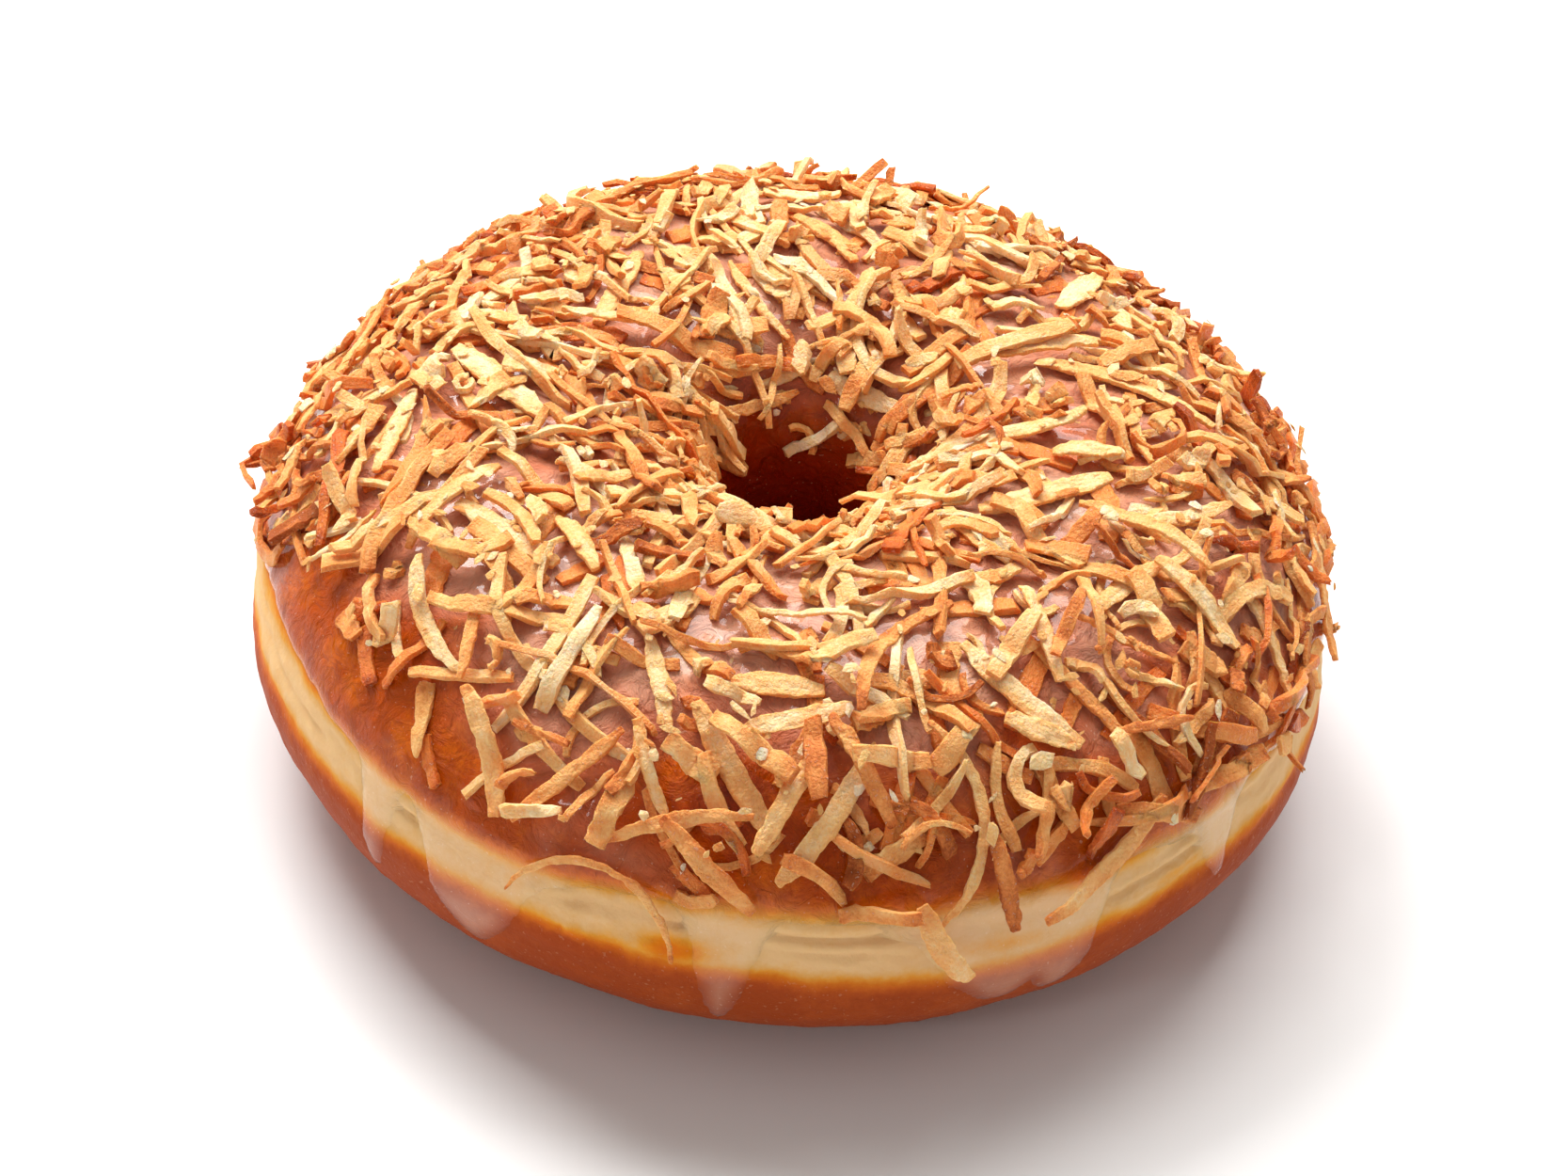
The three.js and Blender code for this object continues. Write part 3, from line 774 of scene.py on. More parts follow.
for number, node_name in enumerate(large_shreds):
    shred = frame["nodes"][node_name].copy()
    shred.data = frame["nodes"][node_name].data.copy()
    shred.name = node_name.replace("coconut_shred", "large_shred")
    shred.data.name = shred.name
    shred.parent = None
    shred.hide_render = False
    bpy.context.scene.collection.objects.link(shred)
    choose(shred)
    bpy.ops.object.mode_set(mode="EDIT")
    bpy.ops.mesh.select_all(action="SELECT")
    bpy.ops.mesh.remove_doubles(threshold=0.001 * MM)
    bpy.ops.mesh.tris_convert_to_quads(face_threshold=math.radians(50), shape_threshold=math.radians(60))
    bpy.ops.object.mode_set(mode="OBJECT")
    corners = vertices_of(shred.data)
    normals = np.array([vertex.normal for vertex in shred.data.vertices])
    corner_out = ring_directions(*under_point(corners))[2]
    upright = corner_out * (normals * corner_out).sum(axis=1, keepdims=True)
    corners = corners - (normals - upright) * SHRED_TRIM - upright * SHRED_THINNED
    shred.data.vertices.foreach_set("co", corners.astype(np.float32).ravel())
    bevel = shred.modifiers.new("cut_edges", "BEVEL")
    bevel.width = SHRED_BEVEL
    bevel.segments = 1
    bevel.limit_method = "ANGLE"
    bevel.angle_limit = math.radians(40)
    bpy.ops.object.modifier_apply(modifier=bevel.name)
    smooth = shred.modifiers.new("curved_strip", "SUBSURF")
    smooth.levels = smooth.render_levels = 3
    bpy.ops.object.modifier_apply(modifier=smooth.name)

    points = vertices_of(shred.data)
    middle = points.mean(axis=0)
    directions = np.linalg.svd(points - middle, full_matrices=False)[2]
    along = (points - middle) @ directions[0]
    tip_share = np.abs(along) / np.abs(along).max()
    seed = 100 + 3 * number
    ragged = lumps_each_way(points, 1.2 * MM, seed) * 0.13 * MM
    ragged += lumps_each_way(points, 0.45 * MM, seed) * 0.10 * MM
    shred_out = ring_directions(*under_point(points))[2]
    points = points + ragged - shred_out * SHRED_SUNK
    shred.data.vertices.foreach_set("co", points.astype(np.float32).ravel())
    shred.data.update()
    bpy.ops.object.shade_smooth()
    # A large shred low on the side gets a browner tone: painted shade.
    painted_side_shade = 0.16 * on_side(under_point(middle)[1])
    tone = TONE_OF_SLOT[slot_of_node[node_name]] + 0.06 * math.sin(1.7 * number) + painted_side_shade
    lines = (points - middle) @ directions.T
    edge_share = np.abs(lines[:, 1]) / np.abs(lines[:, 1]).max()
    toast = toast_along(points, tone, tip_share, seed) - 0.04 + EDGE_TOAST * edge_share ** 3
    give(shred.data, "toast", toast)
    give(shred.data, "glazed", np.zeros(len(points)))
    give(shred.data, "fibre", lines * (FIBRE_DRAW, 1, 1) + 0.01 * number)
    shred.data.materials.clear()
    shred.data.materials.append(coconut)
    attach(shred, "root")
    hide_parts(node_name)


# ---------------------------------------------------------------- smaller shreds
# About a thousand thinner and shorter strips of the same coconut, which fell on
# each other in every direction. Each is laid on what already lies under it.

SHRED_STATIONS = 10
FALLING_SHREDS = 4800           # many of them roll off again
SUNK_SHREDS = 110
SHRED_SLOPE = 0.80              # steepest climb over another shred
SHRED_PRESSED = 0.76            # how much of the pile's height is left once a shred is pressed on it
HIGHEST_LYING = 1.40 * MM       # a shred that would lie higher than this rolls off
SUNK_LYING = 0.38 * MM          # the underside of a shred that sank into the glaze
SUNK_THICKNESS = 0.55 * MM
LYING_ON_GLAZE = 0.40 * MM      # a shred sinks a little into the wet glaze
PLACED_NARROWING = 0.75         # the share that they keep of the widths listed below
PLACED_THICKNESS = 0.5 * MM
SECTOR_DEGREES = 30
STAYING_ANGLES = 16, 172        # the section angles between which shreds stay on the ring
LEVEL_SPAN = 0.4 * MM           # the length over which a shred doesn't bend down
PRESSED_IN = 0.12 * MM          # how far a shred's top may reach into a large one over it
PILE_ROUND, PILE_UP = 720, 216  # cells of the pile's height map: half degrees round, degrees up

# The plainest of them are placed one by one: bearing and section angle of the middle,
# heading (0 round the ring, 90 up towards the hole), length, width, bend, rise of the
# far end, and tone of toasting.
PLACED_SHREDS = [
    (-143, 79, 2, 8, 1.6, -50, 0.4, 0.40), (-149, 86, 16, 8.5, 1.7, -20, 0.2, 0.35),
    (-162, 68, 63, 7, 1.3, -15, 0.3, 0.62), (-168, 37, -80, 5, 2.6, 0, 0.3, 0.36),
    (-153, 50, 70, 8, 2.6, 10, 0.5, 0.36), (-146, 63, 13, 6, 2.4, -25, 0.2, 0.42),
    (-138, 72, 5, 8.5, 2.2, 0, 0.0, 0.44), (-141, 67, 50, 6.5, 2.2, 60, 0.6, 0.40),
    (-134, 67, -25, 7, 1.8, -60, 0.4, 0.38), (-141, 44, -30, 5.5, 1.2, 30, 0.5, 0.15),
    (-135, 58, 27, 6, 1.8, 0, 0.2, 0.36), (-131, 34, -60, 6, 2.0, 0, 0.2, 0.40),
    (-126, 66, 35, 6, 1.8, 0, 0.2, 0.34), (-131, 70, 105, 7.5, 1.6, 20, 0.4, 0.42),
    (-163, 97, 38, 8, 1.8, 0, 0.2, 0.44), (-95, 117, 90, 5.5, 1.9, 0, 2.2, 0.22),
    (150, 150, 135, 6.5, 2.0, 0, 0.6, 0.30), (-104, 72, -30, 9.5, 1.4, 30, 0.8, 0.45),
    (-109, 78, 65, 6, 2.6, 0, 0.2, 0.25), (-94, 79, -35, 5, 2.2, 0, 0.3, 0.40),
    (-90, 76, -15, 6.5, 1.6, -70, 0.8, 0.36), (-96, 64, -5, 4.5, 1.6, 0, 0.0, 0.20),
    (-81, 74, 15, 5.5, 2.2, 0, 0.3, 0.28), (-70, 69, -10, 3, 2.4, 0, 0.0, 0.30),
    (-82, 108, 120, 8, 2.4, 30, 0.3, 0.26), (-29, 83, -11, 5.5, 2.2, 0, 0.3, 0.55),
    (-39, 72, -130, 10.5, 1.5, 10, 0.6, 0.40), (-46, 69, -150, 7.5, 1.6, 0, 0.6, 0.60),
    (-55, 70, -150, 7, 2.2, 0, 0.2, 0.26), (-31, 44, -90, 7, 2.0, -40, 0.4, 0.38),
    (-30, 28, -20, 8, 1.2, 30, 1.0, 0.52), (-24, 18, -120, 4.5, 1.0, 0, 2.0, 0.66),
    (-18, 53, -175, 4.5, 2.2, 0, 0.3, 0.40), (-57, 39, -75, 6.5, 2.0, 0, 0.1, 0.42),
    (-51, 36, -100, 5, 1.6, 40, 0.2, 0.40), (-62, 48, -45, 5, 1.7, 0, 0.3, 0.52),
    (-52, 42, -30, 9.5, 1.6, -45, 0.5, 0.48), (-48, 41, -65, 4.5, 2.2, 0, 0.4, 0.24),
    (-84, 29, -35, 6.5, 1.6, -55, 0.6, 0.50), (-78, 21, 5, 6, 1.6, 0, 0.3, 0.44),
    (-76, 33, 30, 6, 2.2, 0, 0.0, 0.46), (-85, 52, -85, 6, 2.2, 0, 0.3, 0.56),
    (-67, 55, 40, 6.5, 2.5, 0, 0.3, 0.36), (-76, 52, -5, 6.5, 2.0, 0, 0.1, 0.30),
    (-114, 30, 20, 4.5, 1.5, 0, 0.1, 0.20), (-106, 35, 80, 5, 2.6, 0, 0.1, 0.34),
    (-92, 53, -28, 7.5, 2.2, 0, 0.1, 0.36), (-96, 20, 10, 3.5, 1.4, 60, 0.4, 0.42),
    (-99, 49, -20, 4.5, 2.6, 0, 0.1, 0.30), (133, 52, 20, 9, 1.2, 0, 2.0, 0.24),
    (128, 55, -60, 4, 1.8, 0, 2.0, 0.26), (124, 68, 150, 8, 1.8, 10, 0.4, 0.38),
    (142, 81, 40, 3.8, 2.5, 0, 0.4, 0.16), (175, 89, 90, 5, 3.0, 0, 0.2, 0.16),
    (178, 52, 100, 7, 2.8, 10, 0.5, 0.36), (147, 75, 120, 5.5, 1.0, -40, 0.8, 0.80),
    (-175, 79, 20, 10.5, 1.5, 0, 0.5, 0.40), (178, 68, 40, 5.5, 2.6, 0, 0.3, 0.24),
    (93, 96, 90, 8, 2.0, 0, 0.2, 0.40), (100, 97, 95, 5, 2.4, 0, 0.2, 0.38),
    (107, 86, 20, 4.5, 2.2, 0, 0.4, 0.20), (118, 113, 160, 5.5, 2.4, 10, 0.3, 0.34),
    (78, 115, 110, 7, 2.6, 0, 0.3, 0.24), (65, 123, 85, 7.5, 2.2, 0, 0.4, 0.42),
    (82, 56, -90, 3.5, 1.2, 0, 3.0, 0.60), (94, 57, -90, 4, 1.5, 0, 2.5, 0.26),
    (50, 92, -90, 8.5, 1.0, -70, 1.0, 0.74), (62, 104, 150, 5, 2.0, 20, 0.4, 0.22),
    (140, 110, 135, 10.5, 2.2, 10, 0.3, 0.40), (38, 130, 85, 5.5, 1.6, 0, 0.4, 0.62),
    (35, 118, 95, 9, 1.8, -15, 0.6, 0.52), (36, 45, -80, 5, 2.0, 0, 1.5, 0.44),
    (51, 55, -90, 4.5, 1.6, 0, 1.0, 0.70), (33, 93, -95, 10, 2.0, 8, 0.4, 0.26),
    (12, 85, -165, 7.5, 2.2, 0, 0.2, 0.38), (15, 97, 85, 7, 2.6, 0, 0.2, 0.52),
    (4, 66, -75, 6, 2.4, 0, 0.4, 0.36), (-8, 33, -170, 9, 1.8, 10, 0.4, 0.48),
]

# Where the shreds lie thin: bearing, section angle, degrees wide and high, and the share
# of the shreds aimed there that rolled off again.
THIN_PLACES = [
    (-148, 28, 26, 20, 1.0), (-126, 34, 15, 18, 1.0), (-118, 50, 8, 9, 0.7), (-88, 20, 60, 14, 1.0),
    (-74, 36, 16, 8, 0.75), (-52, 26, 16, 12, 0.75), (-104, 71, 4, 5, 0.9), (22, 40, 12, 10, 0.7),
    (-12, 42, 12, 8, 0.5), (172, 38, 12, 10, 0.6), (-44, 47, 8, 7, 0.5), (-70, 70, 6, 7, 0.4),
]


def strip_master(name, cuts):
    """A unit strip: a six-sided bar, flattened to a strip with eased edges and cut across at each station."""
    bpy.ops.object.select_all(action="DESELECT")
    bpy.ops.mesh.primitive_cylinder_add(vertices=6, radius=0.5, depth=1, rotation=(0, math.pi / 2, 0))
    strip = bpy.context.object
    strip.name = name
    bpy.ops.object.transform_apply(rotation=True)
    bpy.ops.object.mode_set(mode="EDIT")
    bpy.ops.mesh.select_mode(type="EDGE")
    bpy.ops.mesh.select_all(action="DESELECT")
    bpy.ops.object.mode_set(mode="OBJECT")
    for edge in strip.data.edges:
        ends = [strip.data.vertices[vertex].co for vertex in edge.vertices]
        edge.select = abs(ends[0].x - ends[1].x) > 0.5
    bpy.ops.object.mode_set(mode="EDIT")
    bpy.ops.mesh.subdivide(number_cuts=cuts)
    bpy.ops.object.mode_set(mode="OBJECT")
    corners = vertices_of(strip.data)
    faces = [tuple(face.vertices) for face in strip.data.polygons]
    bpy.data.objects.remove(strip)
    turned_up = np.abs(corners[:, 1]).max() < 0.49
    flat, tall = (2, 1) if turned_up else (1, 2)
    at_side = np.abs(corners[:, flat]) > 0.4
    side = np.sign(corners[:, flat]) * np.where(at_side, 0.5, 0.455)
    level = np.where(at_side, 0, np.sign(corners[:, tall]) * 0.5)
    return np.stack([corners[:, 0], side, level], axis=-1), faces


def shaped_strip(corners, narrowing, raggedness, thinning, rng):
    """A copy of the unit strip with narrowed tips and gently uneven cut edges and thickness."""
    first_tip, sharpness, last_tip = narrowing
    station = np.round((corners[:, 0] + 0.5) * (SHRED_STATIONS - 1)).astype(int)
    uneven = rng.normal(size=(4, SHRED_STATIONS))
    uneven = (uneven + np.roll(uneven, 1, axis=1) + np.roll(uneven, -1, axis=1)) / 3
    along = 2 * corners[:, 0]
    shaped = corners.copy()
    width = 1 - first_tip * np.clip(-along, 0, 1) ** sharpness - last_tip * np.clip(along, 0, 1) ** sharpness
    shaped[:, 1] *= width * (1 + 0.8 * raggedness * uneven[0][station])
    edge = np.where(corners[:, 1] > 0, uneven[1][station], uneven[2][station])
    shaped[:, 1] += raggedness * edge * 0.5
    shaped[:, 2] *= (1 - thinning * np.abs(along) ** 2) * (1 + 0.15 * uneven[3][station])
    shaped[:, 1] += 0.055 * rng.normal(size=len(corners))
    shaped[:, 2] += 0.08 * rng.normal(size=len(corners))
    shaped[:, 0] += np.where(np.abs(along) > 0.99, 0.014 * rng.normal(size=len(corners)), 0)
    return shaped


rng = np.random.default_rng(4107)
strip_corners, strip_faces = strip_master("strip", SHRED_STATIONS - 2)
STRIP_SHAPES = [
    # narrowing of the first tip, its sharpness, narrowing of the last tip, raggedness, thinning
    ((0.10, 8, 0.15), 0.06, 0.1),
    ((0.08, 6, 0.25), 0.08, 0.1),
    ((0.15, 6, 0.10), 0.10, 0.0),
    ((0.50, 3, 0.12), 0.08, 0.2),
    ((0.10, 8, 0.10), 0.05, 0.0),
    ((0.25, 4, 0.60), 0.12, 0.2),
    ((0.20, 5, 0.20), 0.14, 0.1),
    ((0.05, 9, 0.30), 0.10, 0.1),
]
strips = [shaped_strip(strip_corners, *shape, rng) for shape in STRIP_SHAPES]

pile = np.full((PILE_ROUND, PILE_UP), LYING_ON_GLAZE)
large_low = np.full((PILE_ROUND, PILE_UP), np.inf)
large_top = np.zeros((PILE_ROUND, PILE_UP))


def pile_cell(bearing, angle):
    """The cell of the height map at each bearing and section angle."""
    turned_round = np.floor((bearing % 360) / 360 * PILE_ROUND).astype(int) % PILE_ROUND
    return turned_round, np.clip(np.round(angle).astype(int), 0, PILE_UP - 1)


for node_name in large_shreds:
    mesh = frame["nodes"][node_name].data
    points = vertices_of(mesh)
    mesh.calc_loop_triangles()
    corners = np.array([triangle.vertices for triangle in mesh.loop_triangles])
    shares = rng.dirichlet((1, 1, 1), size=60)
    filled = np.einsum("sk,tkd->tsd", shares, points[corners]).reshape(-1, 3)
    bearing, angle = under_point(filled)
    lift = np.einsum("nd,nd->n", filled - ring_point(bearing, angle), ring_directions(bearing, angle)[2])
    cells = pile_cell(bearing, angle)
    np.minimum.at(large_low, cells, lift - SHRED_SUNK)
    np.maximum.at(large_top, cells, lift - SHRED_SUNK)


def shred_line(bearing, angle, heading, length, bend):
    """A flat arc laid down on the ring: bearing, section angle, run and share at each station."""
    middle = ring_point(bearing, angle)
    round_way, climb = ring_directions(np.float64(bearing), np.float64(angle))[:2]
    share = np.linspace(-1, 1, SHRED_STATIONS)
    run = share * length / 2
    turned_by = np.radians(bend) * share / 2
    chord = run * np.sinc(turned_by / 2 / np.pi)
    aim = np.radians(heading) + turned_by / 2
    flat = middle + np.outer(chord * np.cos(aim), round_way) + np.outer(chord * np.sin(aim), climb)
    return *under_point(flat), run, share


def line_footprint(line_bearing, line_angle, width):
    """The cells under a shred, for each station a row of cells across its width."""
    spots_on = ring_point(line_bearing, line_angle)
    out = ring_directions(line_bearing, line_angle)[2]
    side = unit(np.cross(np.gradient(spots_on, axis=0), out))
    fine_share = np.linspace(0, SHRED_STATIONS - 1, 3 * SHRED_STATIONS)
    low = np.minimum(fine_share.astype(int), SHRED_STATIONS - 2)
    part = (fine_share - low)[:, None]
    centre = spots_on[low] * (1 - part) + spots_on[low + 1] * part
    aside = side[low] * (1 - part) + side[low + 1] * part
    across = np.linspace(-0.45, 0.45, max(3, int(width / (0.4 * MM)))) * width
    points = centre[:, None, :] + aside[:, None, :] * across[None, :, None]
    return pile_cell(*under_point(points)), fine_share


def lie_heights(footprint, fine_share, run, thickness, over_large):
    """The lowest heights at which a shred can lie, or None where a large shred is in its way."""
    needed = LYING_ON_GLAZE + (pile[footprint].max(axis=1) - LYING_ON_GLAZE) * SHRED_PRESSED
    if over_large:
        needed = np.maximum(needed, large_top[footprint].max(axis=1))
    fine_run = np.interp(fine_share, np.arange(SHRED_STATIONS), run)
    away = np.abs(run[:, None] - fine_run[None, :])
    heights = (needed[None, :] - SHRED_SLOPE * np.maximum(away - LEVEL_SPAN, 0)).max(axis=1)
    if not over_large:
        lying = np.interp(fine_share, np.arange(SHRED_STATIONS), heights)
        above = lying + thickness > large_low[footprint].min(axis=1) + PRESSED_IN
        if np.any(above & (lying < large_top[footprint].max(axis=1))):
            return None
    return heights


laid_shreds = {}


def lay_shred(strip, line, width, thickness, heights, rise, roll, twist, tone, glazed_share, footprint):
    """Bends one copy of a strip along its line at its height, and adds it to the pile."""
    line_bearing, line_angle, line_run, share = line
    out = ring_directions(line_bearing, line_angle)[2]
    start_rise, end_rise = rise
    lifted = heights + np.where(share < 0, start_rise, end_rise) * share ** 2
    spine = ring_point(line_bearing, line_angle) + out * lifted[:, None]
    forward = unit(np.gradient(spine, axis=0))
    side = unit(np.cross(forward, out))
    up = np.cross(side, forward)
    station = (strip[:, 0] + 0.5) * (SHRED_STATIONS - 1)
    low = np.clip(np.floor(station).astype(int), 0, SHRED_STATIONS - 2)
    part = (station - low)[:, None]

    def at(values):
        """Values of the stations, taken at each vertex."""
        return values[low] * (1 - part) + values[low + 1] * part

    rolled = np.radians(roll + twist * strip[:, 0])
    flat_side, flat_up = strip[:, 1] * width, strip[:, 2] * thickness
    sideways = flat_side * np.cos(rolled) - flat_up * np.sin(rolled)
    upwards = flat_side * np.sin(rolled) + flat_up * np.cos(rolled)
    standing = 0.5 * (thickness + width * abs(math.sin(math.radians(roll))) * 0.8)
    points = at(spine) + at(side) * sideways[:, None] + at(up) * (upwards + standing)[:, None]
    edge_toast = EDGE_TOAST * np.clip(np.abs(2 * strip[:, 1]), 0, 1) ** 3
    toast = toast_along(points, tone, np.abs(2 * strip[:, 0]), 500) - 0.06 + edge_toast
    sector = int((float(line_bearing[SHRED_STATIONS // 2]) % 360) // SECTOR_DEGREES)
    run_length = line_run[-1] - line_run[0]
    fibre = strip * (run_length * FIBRE_DRAW, width, thickness) + 0.01 * len(laid_shreds.get(sector, []))
    glazing = np.full(len(points), float(glazed_share))
    laid_shreds.setdefault(sector, []).append((points, toast, glazing, fibre))
    top = np.interp(np.linspace(0, SHRED_STATIONS - 1, len(footprint[0])), np.arange(SHRED_STATIONS), lifted)
    top = np.repeat((top + thickness)[:, None], footprint[0].shape[1], axis=1)
    np.maximum.at(pile, footprint, top)


def settled_share(bearing, angle):
    """How likely a falling shred is to stay at a place."""
    lowest, highest = STAYING_ANGLES
    level = np.clip((angle - lowest) / 14, 0, 1) * np.clip((highest - angle) / 30, 0, 1)
    return level * (1 - glaze_places(np.float64(bearing), np.float64(angle), THIN_PLACES))


# The first to fall sank into the glaze, which half covers them. Lengths and widths in mm.
SUNK_ANGLES = 22, 100           # section angles
SUNK_LOWEST_END = 18
SUNK_LENGTHS = 3.5, 9
SUNK_WIDTHS = 1.0, 2.0
SUNK_TONES = 0.25, 0.55

for _ in range(SUNK_SHREDS):
    bearing, angle = rng.uniform(-180, 180), rng.uniform(*SUNK_ANGLES)
    length, width = rng.uniform(*SUNK_LENGTHS) * MM, rng.uniform(*SUNK_WIDTHS) * MM
    line = shred_line(bearing, angle, rng.uniform(0, 360), length, rng.normal(0, 30))
    strip, tone = strips[int(rng.integers(len(strips)))], rng.uniform(*SUNK_TONES)
    roll, twist = rng.normal(0, 6), rng.normal(0, 12)
    if line[1].min() < SUNK_LOWEST_END or rng.random() < 0.8 * glaze_places(bearing, angle, CLEAR_PLACES[:2]):
        continue
    footprint, fine_share = line_footprint(line[0], line[1], width)
    heights = np.full(SHRED_STATIONS, SUNK_LYING)
    lay_shred(strip, line, width, SUNK_THICKNESS, heights, (0, 0.2 * MM), roll, twist, tone, 1.0, footprint)

for bearing, angle, heading, length, width, bend, end_rise, tone in PLACED_SHREDS:
    width = PLACED_NARROWING * width
    line = shred_line(bearing, angle, heading, length * MM, bend)
    footprint, fine_share = line_footprint(line[0], line[1], width * MM)
    heights = lie_heights(footprint, fine_share, line[2], PLACED_THICKNESS, True)
    strip = strips[int(rng.integers(len(strips)))]
    lay_shred(strip, line, width * MM, PLACED_THICKNESS, heights, (0.1 * MM, end_rise * MM), rng.normal(0, 8),
              rng.normal(0, 25), tone, 0, footprint)


# The rest fell at random. Lengths, widths and thicknesses in mm, angles in degrees.
FALLING_ANGLES = 16, 146        # the section angles they fell on
LYING_ANGLES = 14, 156          # and those within which they can lie
HEADINGS_TRIED = 3
LEAST_STAYING = 0.12            # how likely shreds must be to stay where one's ends lie
LENGTH_LOG, LENGTH_SPREAD = 1.95, 0.40  # the natural logarithm of a length of about 7
LENGTHS = 2.6, 15
WIDTH, WIDTH_SPREAD = 1.16, 0.24
WIDTHS = 0.6, 1.8
THICKNESSES = 0.38, 0.66
BELOW_THIS_FLAKES = 0.24        # a share of them are short broad flakes
FLAKE_WIDER, FLAKE_SHORTER = 1.35, 0.42
BELOW_THIS_THREADS = 0.42       # and a share long thin threads
THREAD_WIDTH, THREAD_LONGER = 0.62, 1.1
HOLE_ANGLE, LONGEST_IN_HOLE = 118, 6.5  # past this angle only short ones stay
BENDING, CURLING, NOT_CURLY = 42, 105, 0.70     # how far most bend, and the curly rest
LYING_OVER_LARGE = 0.12         # the share that may lie over the large shreds
END_RISE = 0.4
STANDING_ENDS, STANDING_RISES = 0.08, (0.6, 2.2)    # the share with an end that stands up
PLAINLY_TOASTED = 0.92          # the share that are golden, the rest being brown
TONE, TONE_SPREAD, TONES, BROWN_TONES = 0.29, 0.12, (0.05, 0.60), (0.5, 0.75)
GLAZED_LOW, GLAZED_HIGH = 0.45, 0.12    # shares that are wet with glaze, low and high up; the larger share low down also darkens the side as painted shade
LYING_FLAT, FLAT_ROLL, ANY_ROLL = 0.65, 14, 45  # the share that lie flat, and both rolls


def laying_line(bearing, angle, length, width, thickness, bend, over_large):
    """The lowest of a few ways in which a shred can come to rest near a place, or None."""
    best = None
    for _ in range(HEADINGS_TRIED):
        heading = rng.uniform(0, 360)
        line = shred_line(bearing + rng.normal(0, 2.0), angle + rng.normal(0, 3.0), heading, length, bend)
        if line[1].min() < LYING_ANGLES[0] or line[1].max() > LYING_ANGLES[1]:
            continue
        if settled_share(line[0][[0, -1]], line[1][[0, -1]]).min() < LEAST_STAYING:
            continue
        footprint, fine_share = line_footprint(line[0], line[1], width)
        heights = lie_heights(footprint, fine_share, line[2], thickness, over_large)
        if heights is not None and (best is None or heights.mean() < best[1].mean()):
            best = line, heights, footprint
    return best


for _ in range(FALLING_SHREDS):
    bearing, angle = rng.uniform(-180, 180), rng.uniform(*FALLING_ANGLES)
    kind, bend_kind = rng.random(2)
    length = float(np.clip(math.exp(LENGTH_LOG + LENGTH_SPREAD * rng.normal()), *LENGTHS)) * MM
    width = float(np.clip(rng.normal(WIDTH, WIDTH_SPREAD), *WIDTHS)) * MM
    thickness = float(rng.uniform(*THICKNESSES)) * MM
    if kind < BELOW_THIS_FLAKES:
        width, length = width * FLAKE_WIDER, length * FLAKE_SHORTER
    elif kind < BELOW_THIS_THREADS:
        width, length = THREAD_WIDTH * MM, length * THREAD_LONGER
    if angle > HOLE_ANGLE:
        length = min(length, LONGEST_IN_HOLE * MM)
    bend = rng.normal(0, BENDING if bend_kind < NOT_CURLY else CURLING)
    radius_share = np.hypot(*ring_point(bearing, angle)[:2]) / (OUTER_DIAMETER / 2)
    stays = radius_share * settled_share(bearing, angle)
    over_large = rng.random() < LYING_OVER_LARGE
    rises = np.abs(rng.normal(0, END_RISE, 2)) * MM
    if rng.random() < STANDING_ENDS:
        rises[int(rng.integers(2))] += rng.uniform(*STANDING_RISES) * MM
    if rng.random() < PLAINLY_TOASTED:
        tone = float(np.clip(rng.normal(TONE, TONE_SPREAD), *TONES))
    else:
        tone = rng.uniform(*BROWN_TONES)
    # Shreds low on the side get a browner tone: painted shade.
    tone += 0.19 * on_side(angle)
    # More shreds low on the side are wet with glaze and so darker: partly real wetness, partly painted shade.
    is_glazed = rng.random() < (GLAZED_LOW if angle < 45 else GLAZED_HIGH)
    roll = rng.normal(0, FLAT_ROLL if rng.random() < LYING_FLAT else ANY_ROLL)
    twist = rng.normal(0, 55)
    strip = strips[int(rng.integers(len(strips)))]
    if rng.random() > stays:
        continue
    laying = laying_line(bearing, angle, length, width, thickness, bend, over_large)
    if laying is None or laying[1].mean() > HIGHEST_LYING:
        continue
    line, heights, footprint = laying
    glazed_share = 0.9 if is_glazed else 0
    lay_shred(strip, line, width, thickness, heights, rises, roll, twist, tone, glazed_share, footprint)


def joined_piece(name, parts, faces_of_part, smooth_angle):
    """Joins many small copies into one piece of coconut that rides with the ring."""
    vertex_count = len(parts[0][0])
    points = np.concatenate([part[0] for part in parts])
    faces = [
        tuple(vertex + vertex_count * number for vertex in face)
        for number in range(len(parts)) for face in faces_of_part
    ]
    mesh = bpy.data.meshes.new(name)
    mesh.from_pydata(points.tolist(), [], faces)
    for place, attribute in enumerate(("toast", "glazed", "fibre"), start=1):
        give(mesh, attribute, np.concatenate([part[place] for part in parts]))
    piece = bpy.data.objects.new(name, mesh)
    bpy.context.scene.collection.objects.link(piece)
    turn_outwards(piece)
    bpy.ops.object.shade_smooth_by_angle(angle=math.radians(smooth_angle))
    mesh.materials.append(coconut)
    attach(piece, "root")


for sector, parts in sorted(laid_shreds.items()):
    joined_piece(f"small_shreds_{sector + 1:02d}", parts, strip_faces, 52)


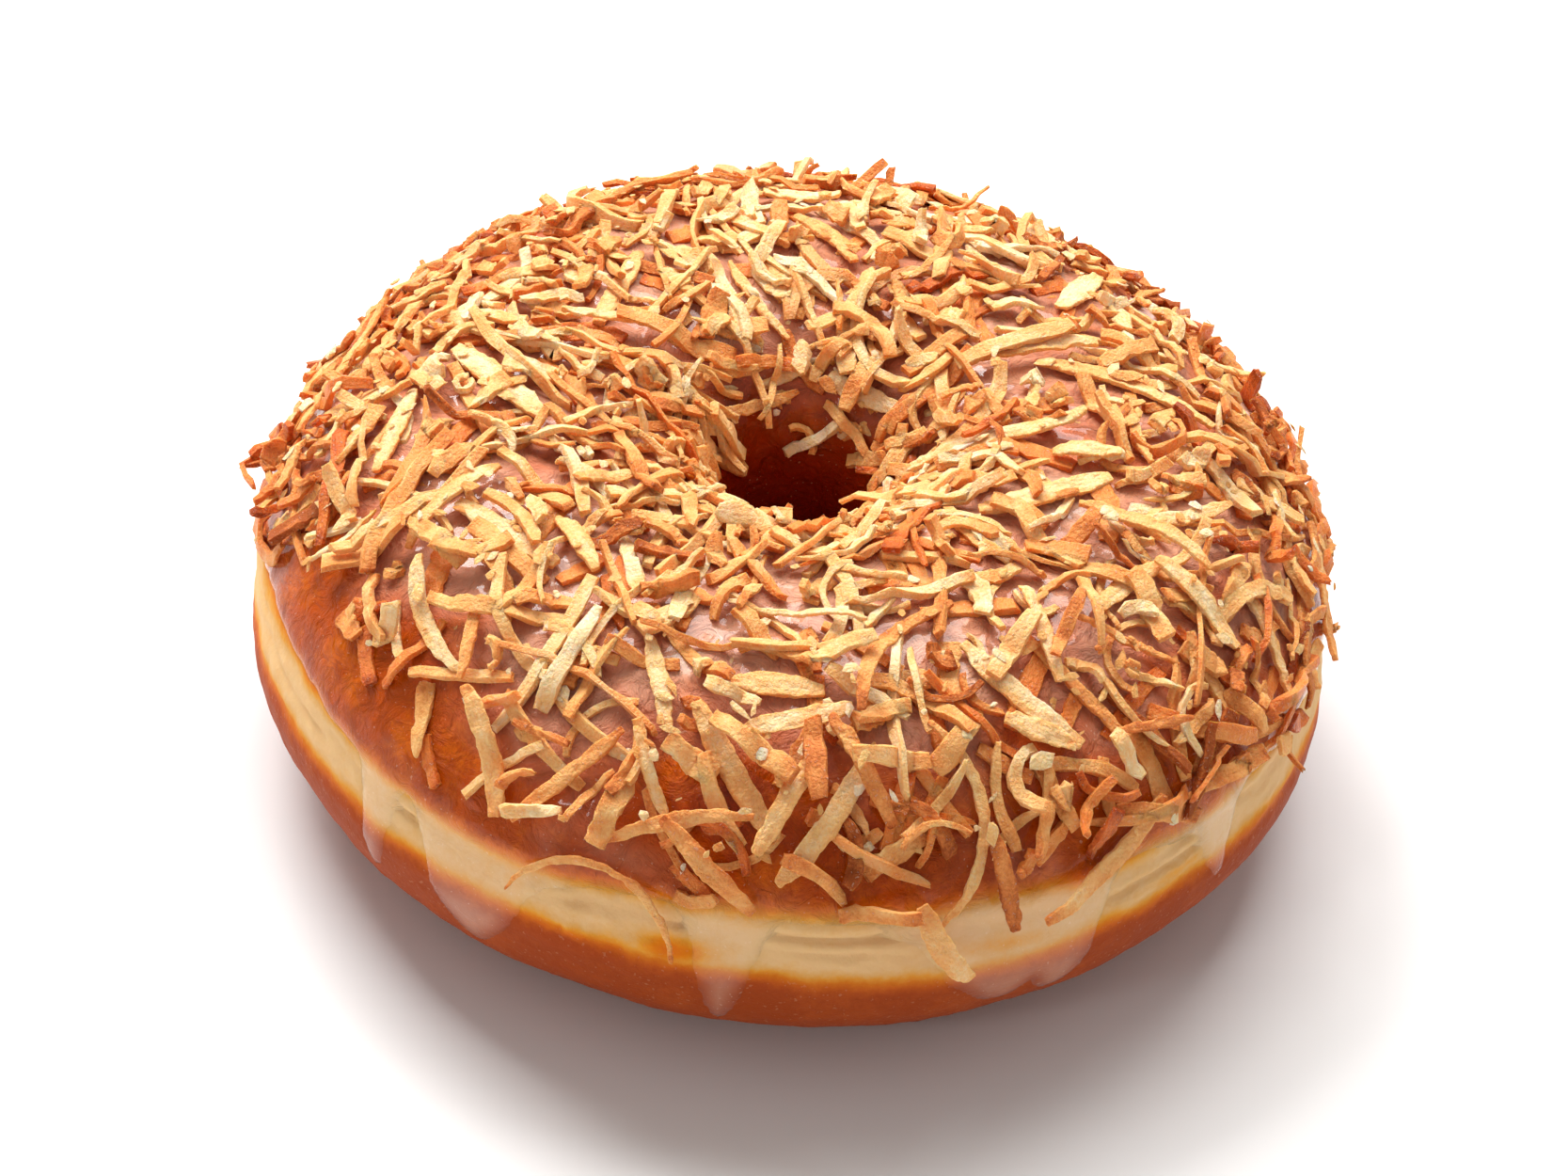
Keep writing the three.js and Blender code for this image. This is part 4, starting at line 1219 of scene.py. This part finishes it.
# ---------------------------------------------------------------- crumbs
# Broken bits and flakes of the coconut, one to two millimetres across, caught
# between the shreds and scattered over the bare glaze.

CRUMBS = 900
CRUMB_ANGLES = 22, 150          # the section angles they lie on
BARE_PLACE_SHARE = 0.06         # how likely one is to lie where no shreds stayed
CRUMB_SIZE, CRUMB_SIZE_SPREAD, CRUMB_SIZES = 0.40, 0.35, (0.18, 0.8)
CRUMB_STRETCHES = [(0.9, 2.2), (0.5, 1.2), (0.2, 0.4)]

bpy.ops.object.select_all(action="DESELECT")
bpy.ops.mesh.primitive_ico_sphere_add(subdivisions=1, radius=1)
crumb_master = bpy.context.object
crumb_corners = vertices_of(crumb_master.data)
crumb_faces = [tuple(face.vertices) for face in crumb_master.data.polygons]
bpy.data.objects.remove(crumb_master)

crumbs = []
while len(crumbs) < CRUMBS:
    bearing = rng.uniform(-180, 180)
    angle = rng.uniform(*CRUMB_ANGLES)
    stays = max(settled_share(bearing, angle), BARE_PLACE_SHARE)
    if rng.random() > stays * np.hypot(*ring_point(bearing, angle)[:2]) / (OUTER_DIAMETER / 2):
        continue
    cell = pile_cell(np.array([bearing]), np.array([angle]))
    height = max(float(pile[cell][0]), float(large_top[cell][0]))
    round_way, climb, out = ring_directions(np.float64(bearing), np.float64(angle))
    size = float(np.clip(rng.lognormal(math.log(CRUMB_SIZE), CRUMB_SIZE_SPREAD), *CRUMB_SIZES)) * MM
    stretch = size * np.array([rng.uniform(*limits) for limits in CRUMB_STRETCHES])
    turn = rng.uniform(0, 2 * math.pi)
    first = round_way * math.cos(turn) + climb * math.sin(turn)
    second = np.cross(out, first)
    shape = crumb_corners * stretch * (1 + 0.25 * rng.normal(size=(len(crumb_corners), 1)))
    points = ring_point(bearing, angle) + out * (height + 0.6 * stretch[2])
    points = points + shape @ np.stack([first, second, out])
    tone = float(np.clip(rng.normal(0.42, 0.16), 0.1, 0.9))
    crumbs.append((points, np.full(len(points), tone), np.zeros(len(points)), points))
joined_piece("coconut_crumbs", crumbs, crumb_faces, 20)
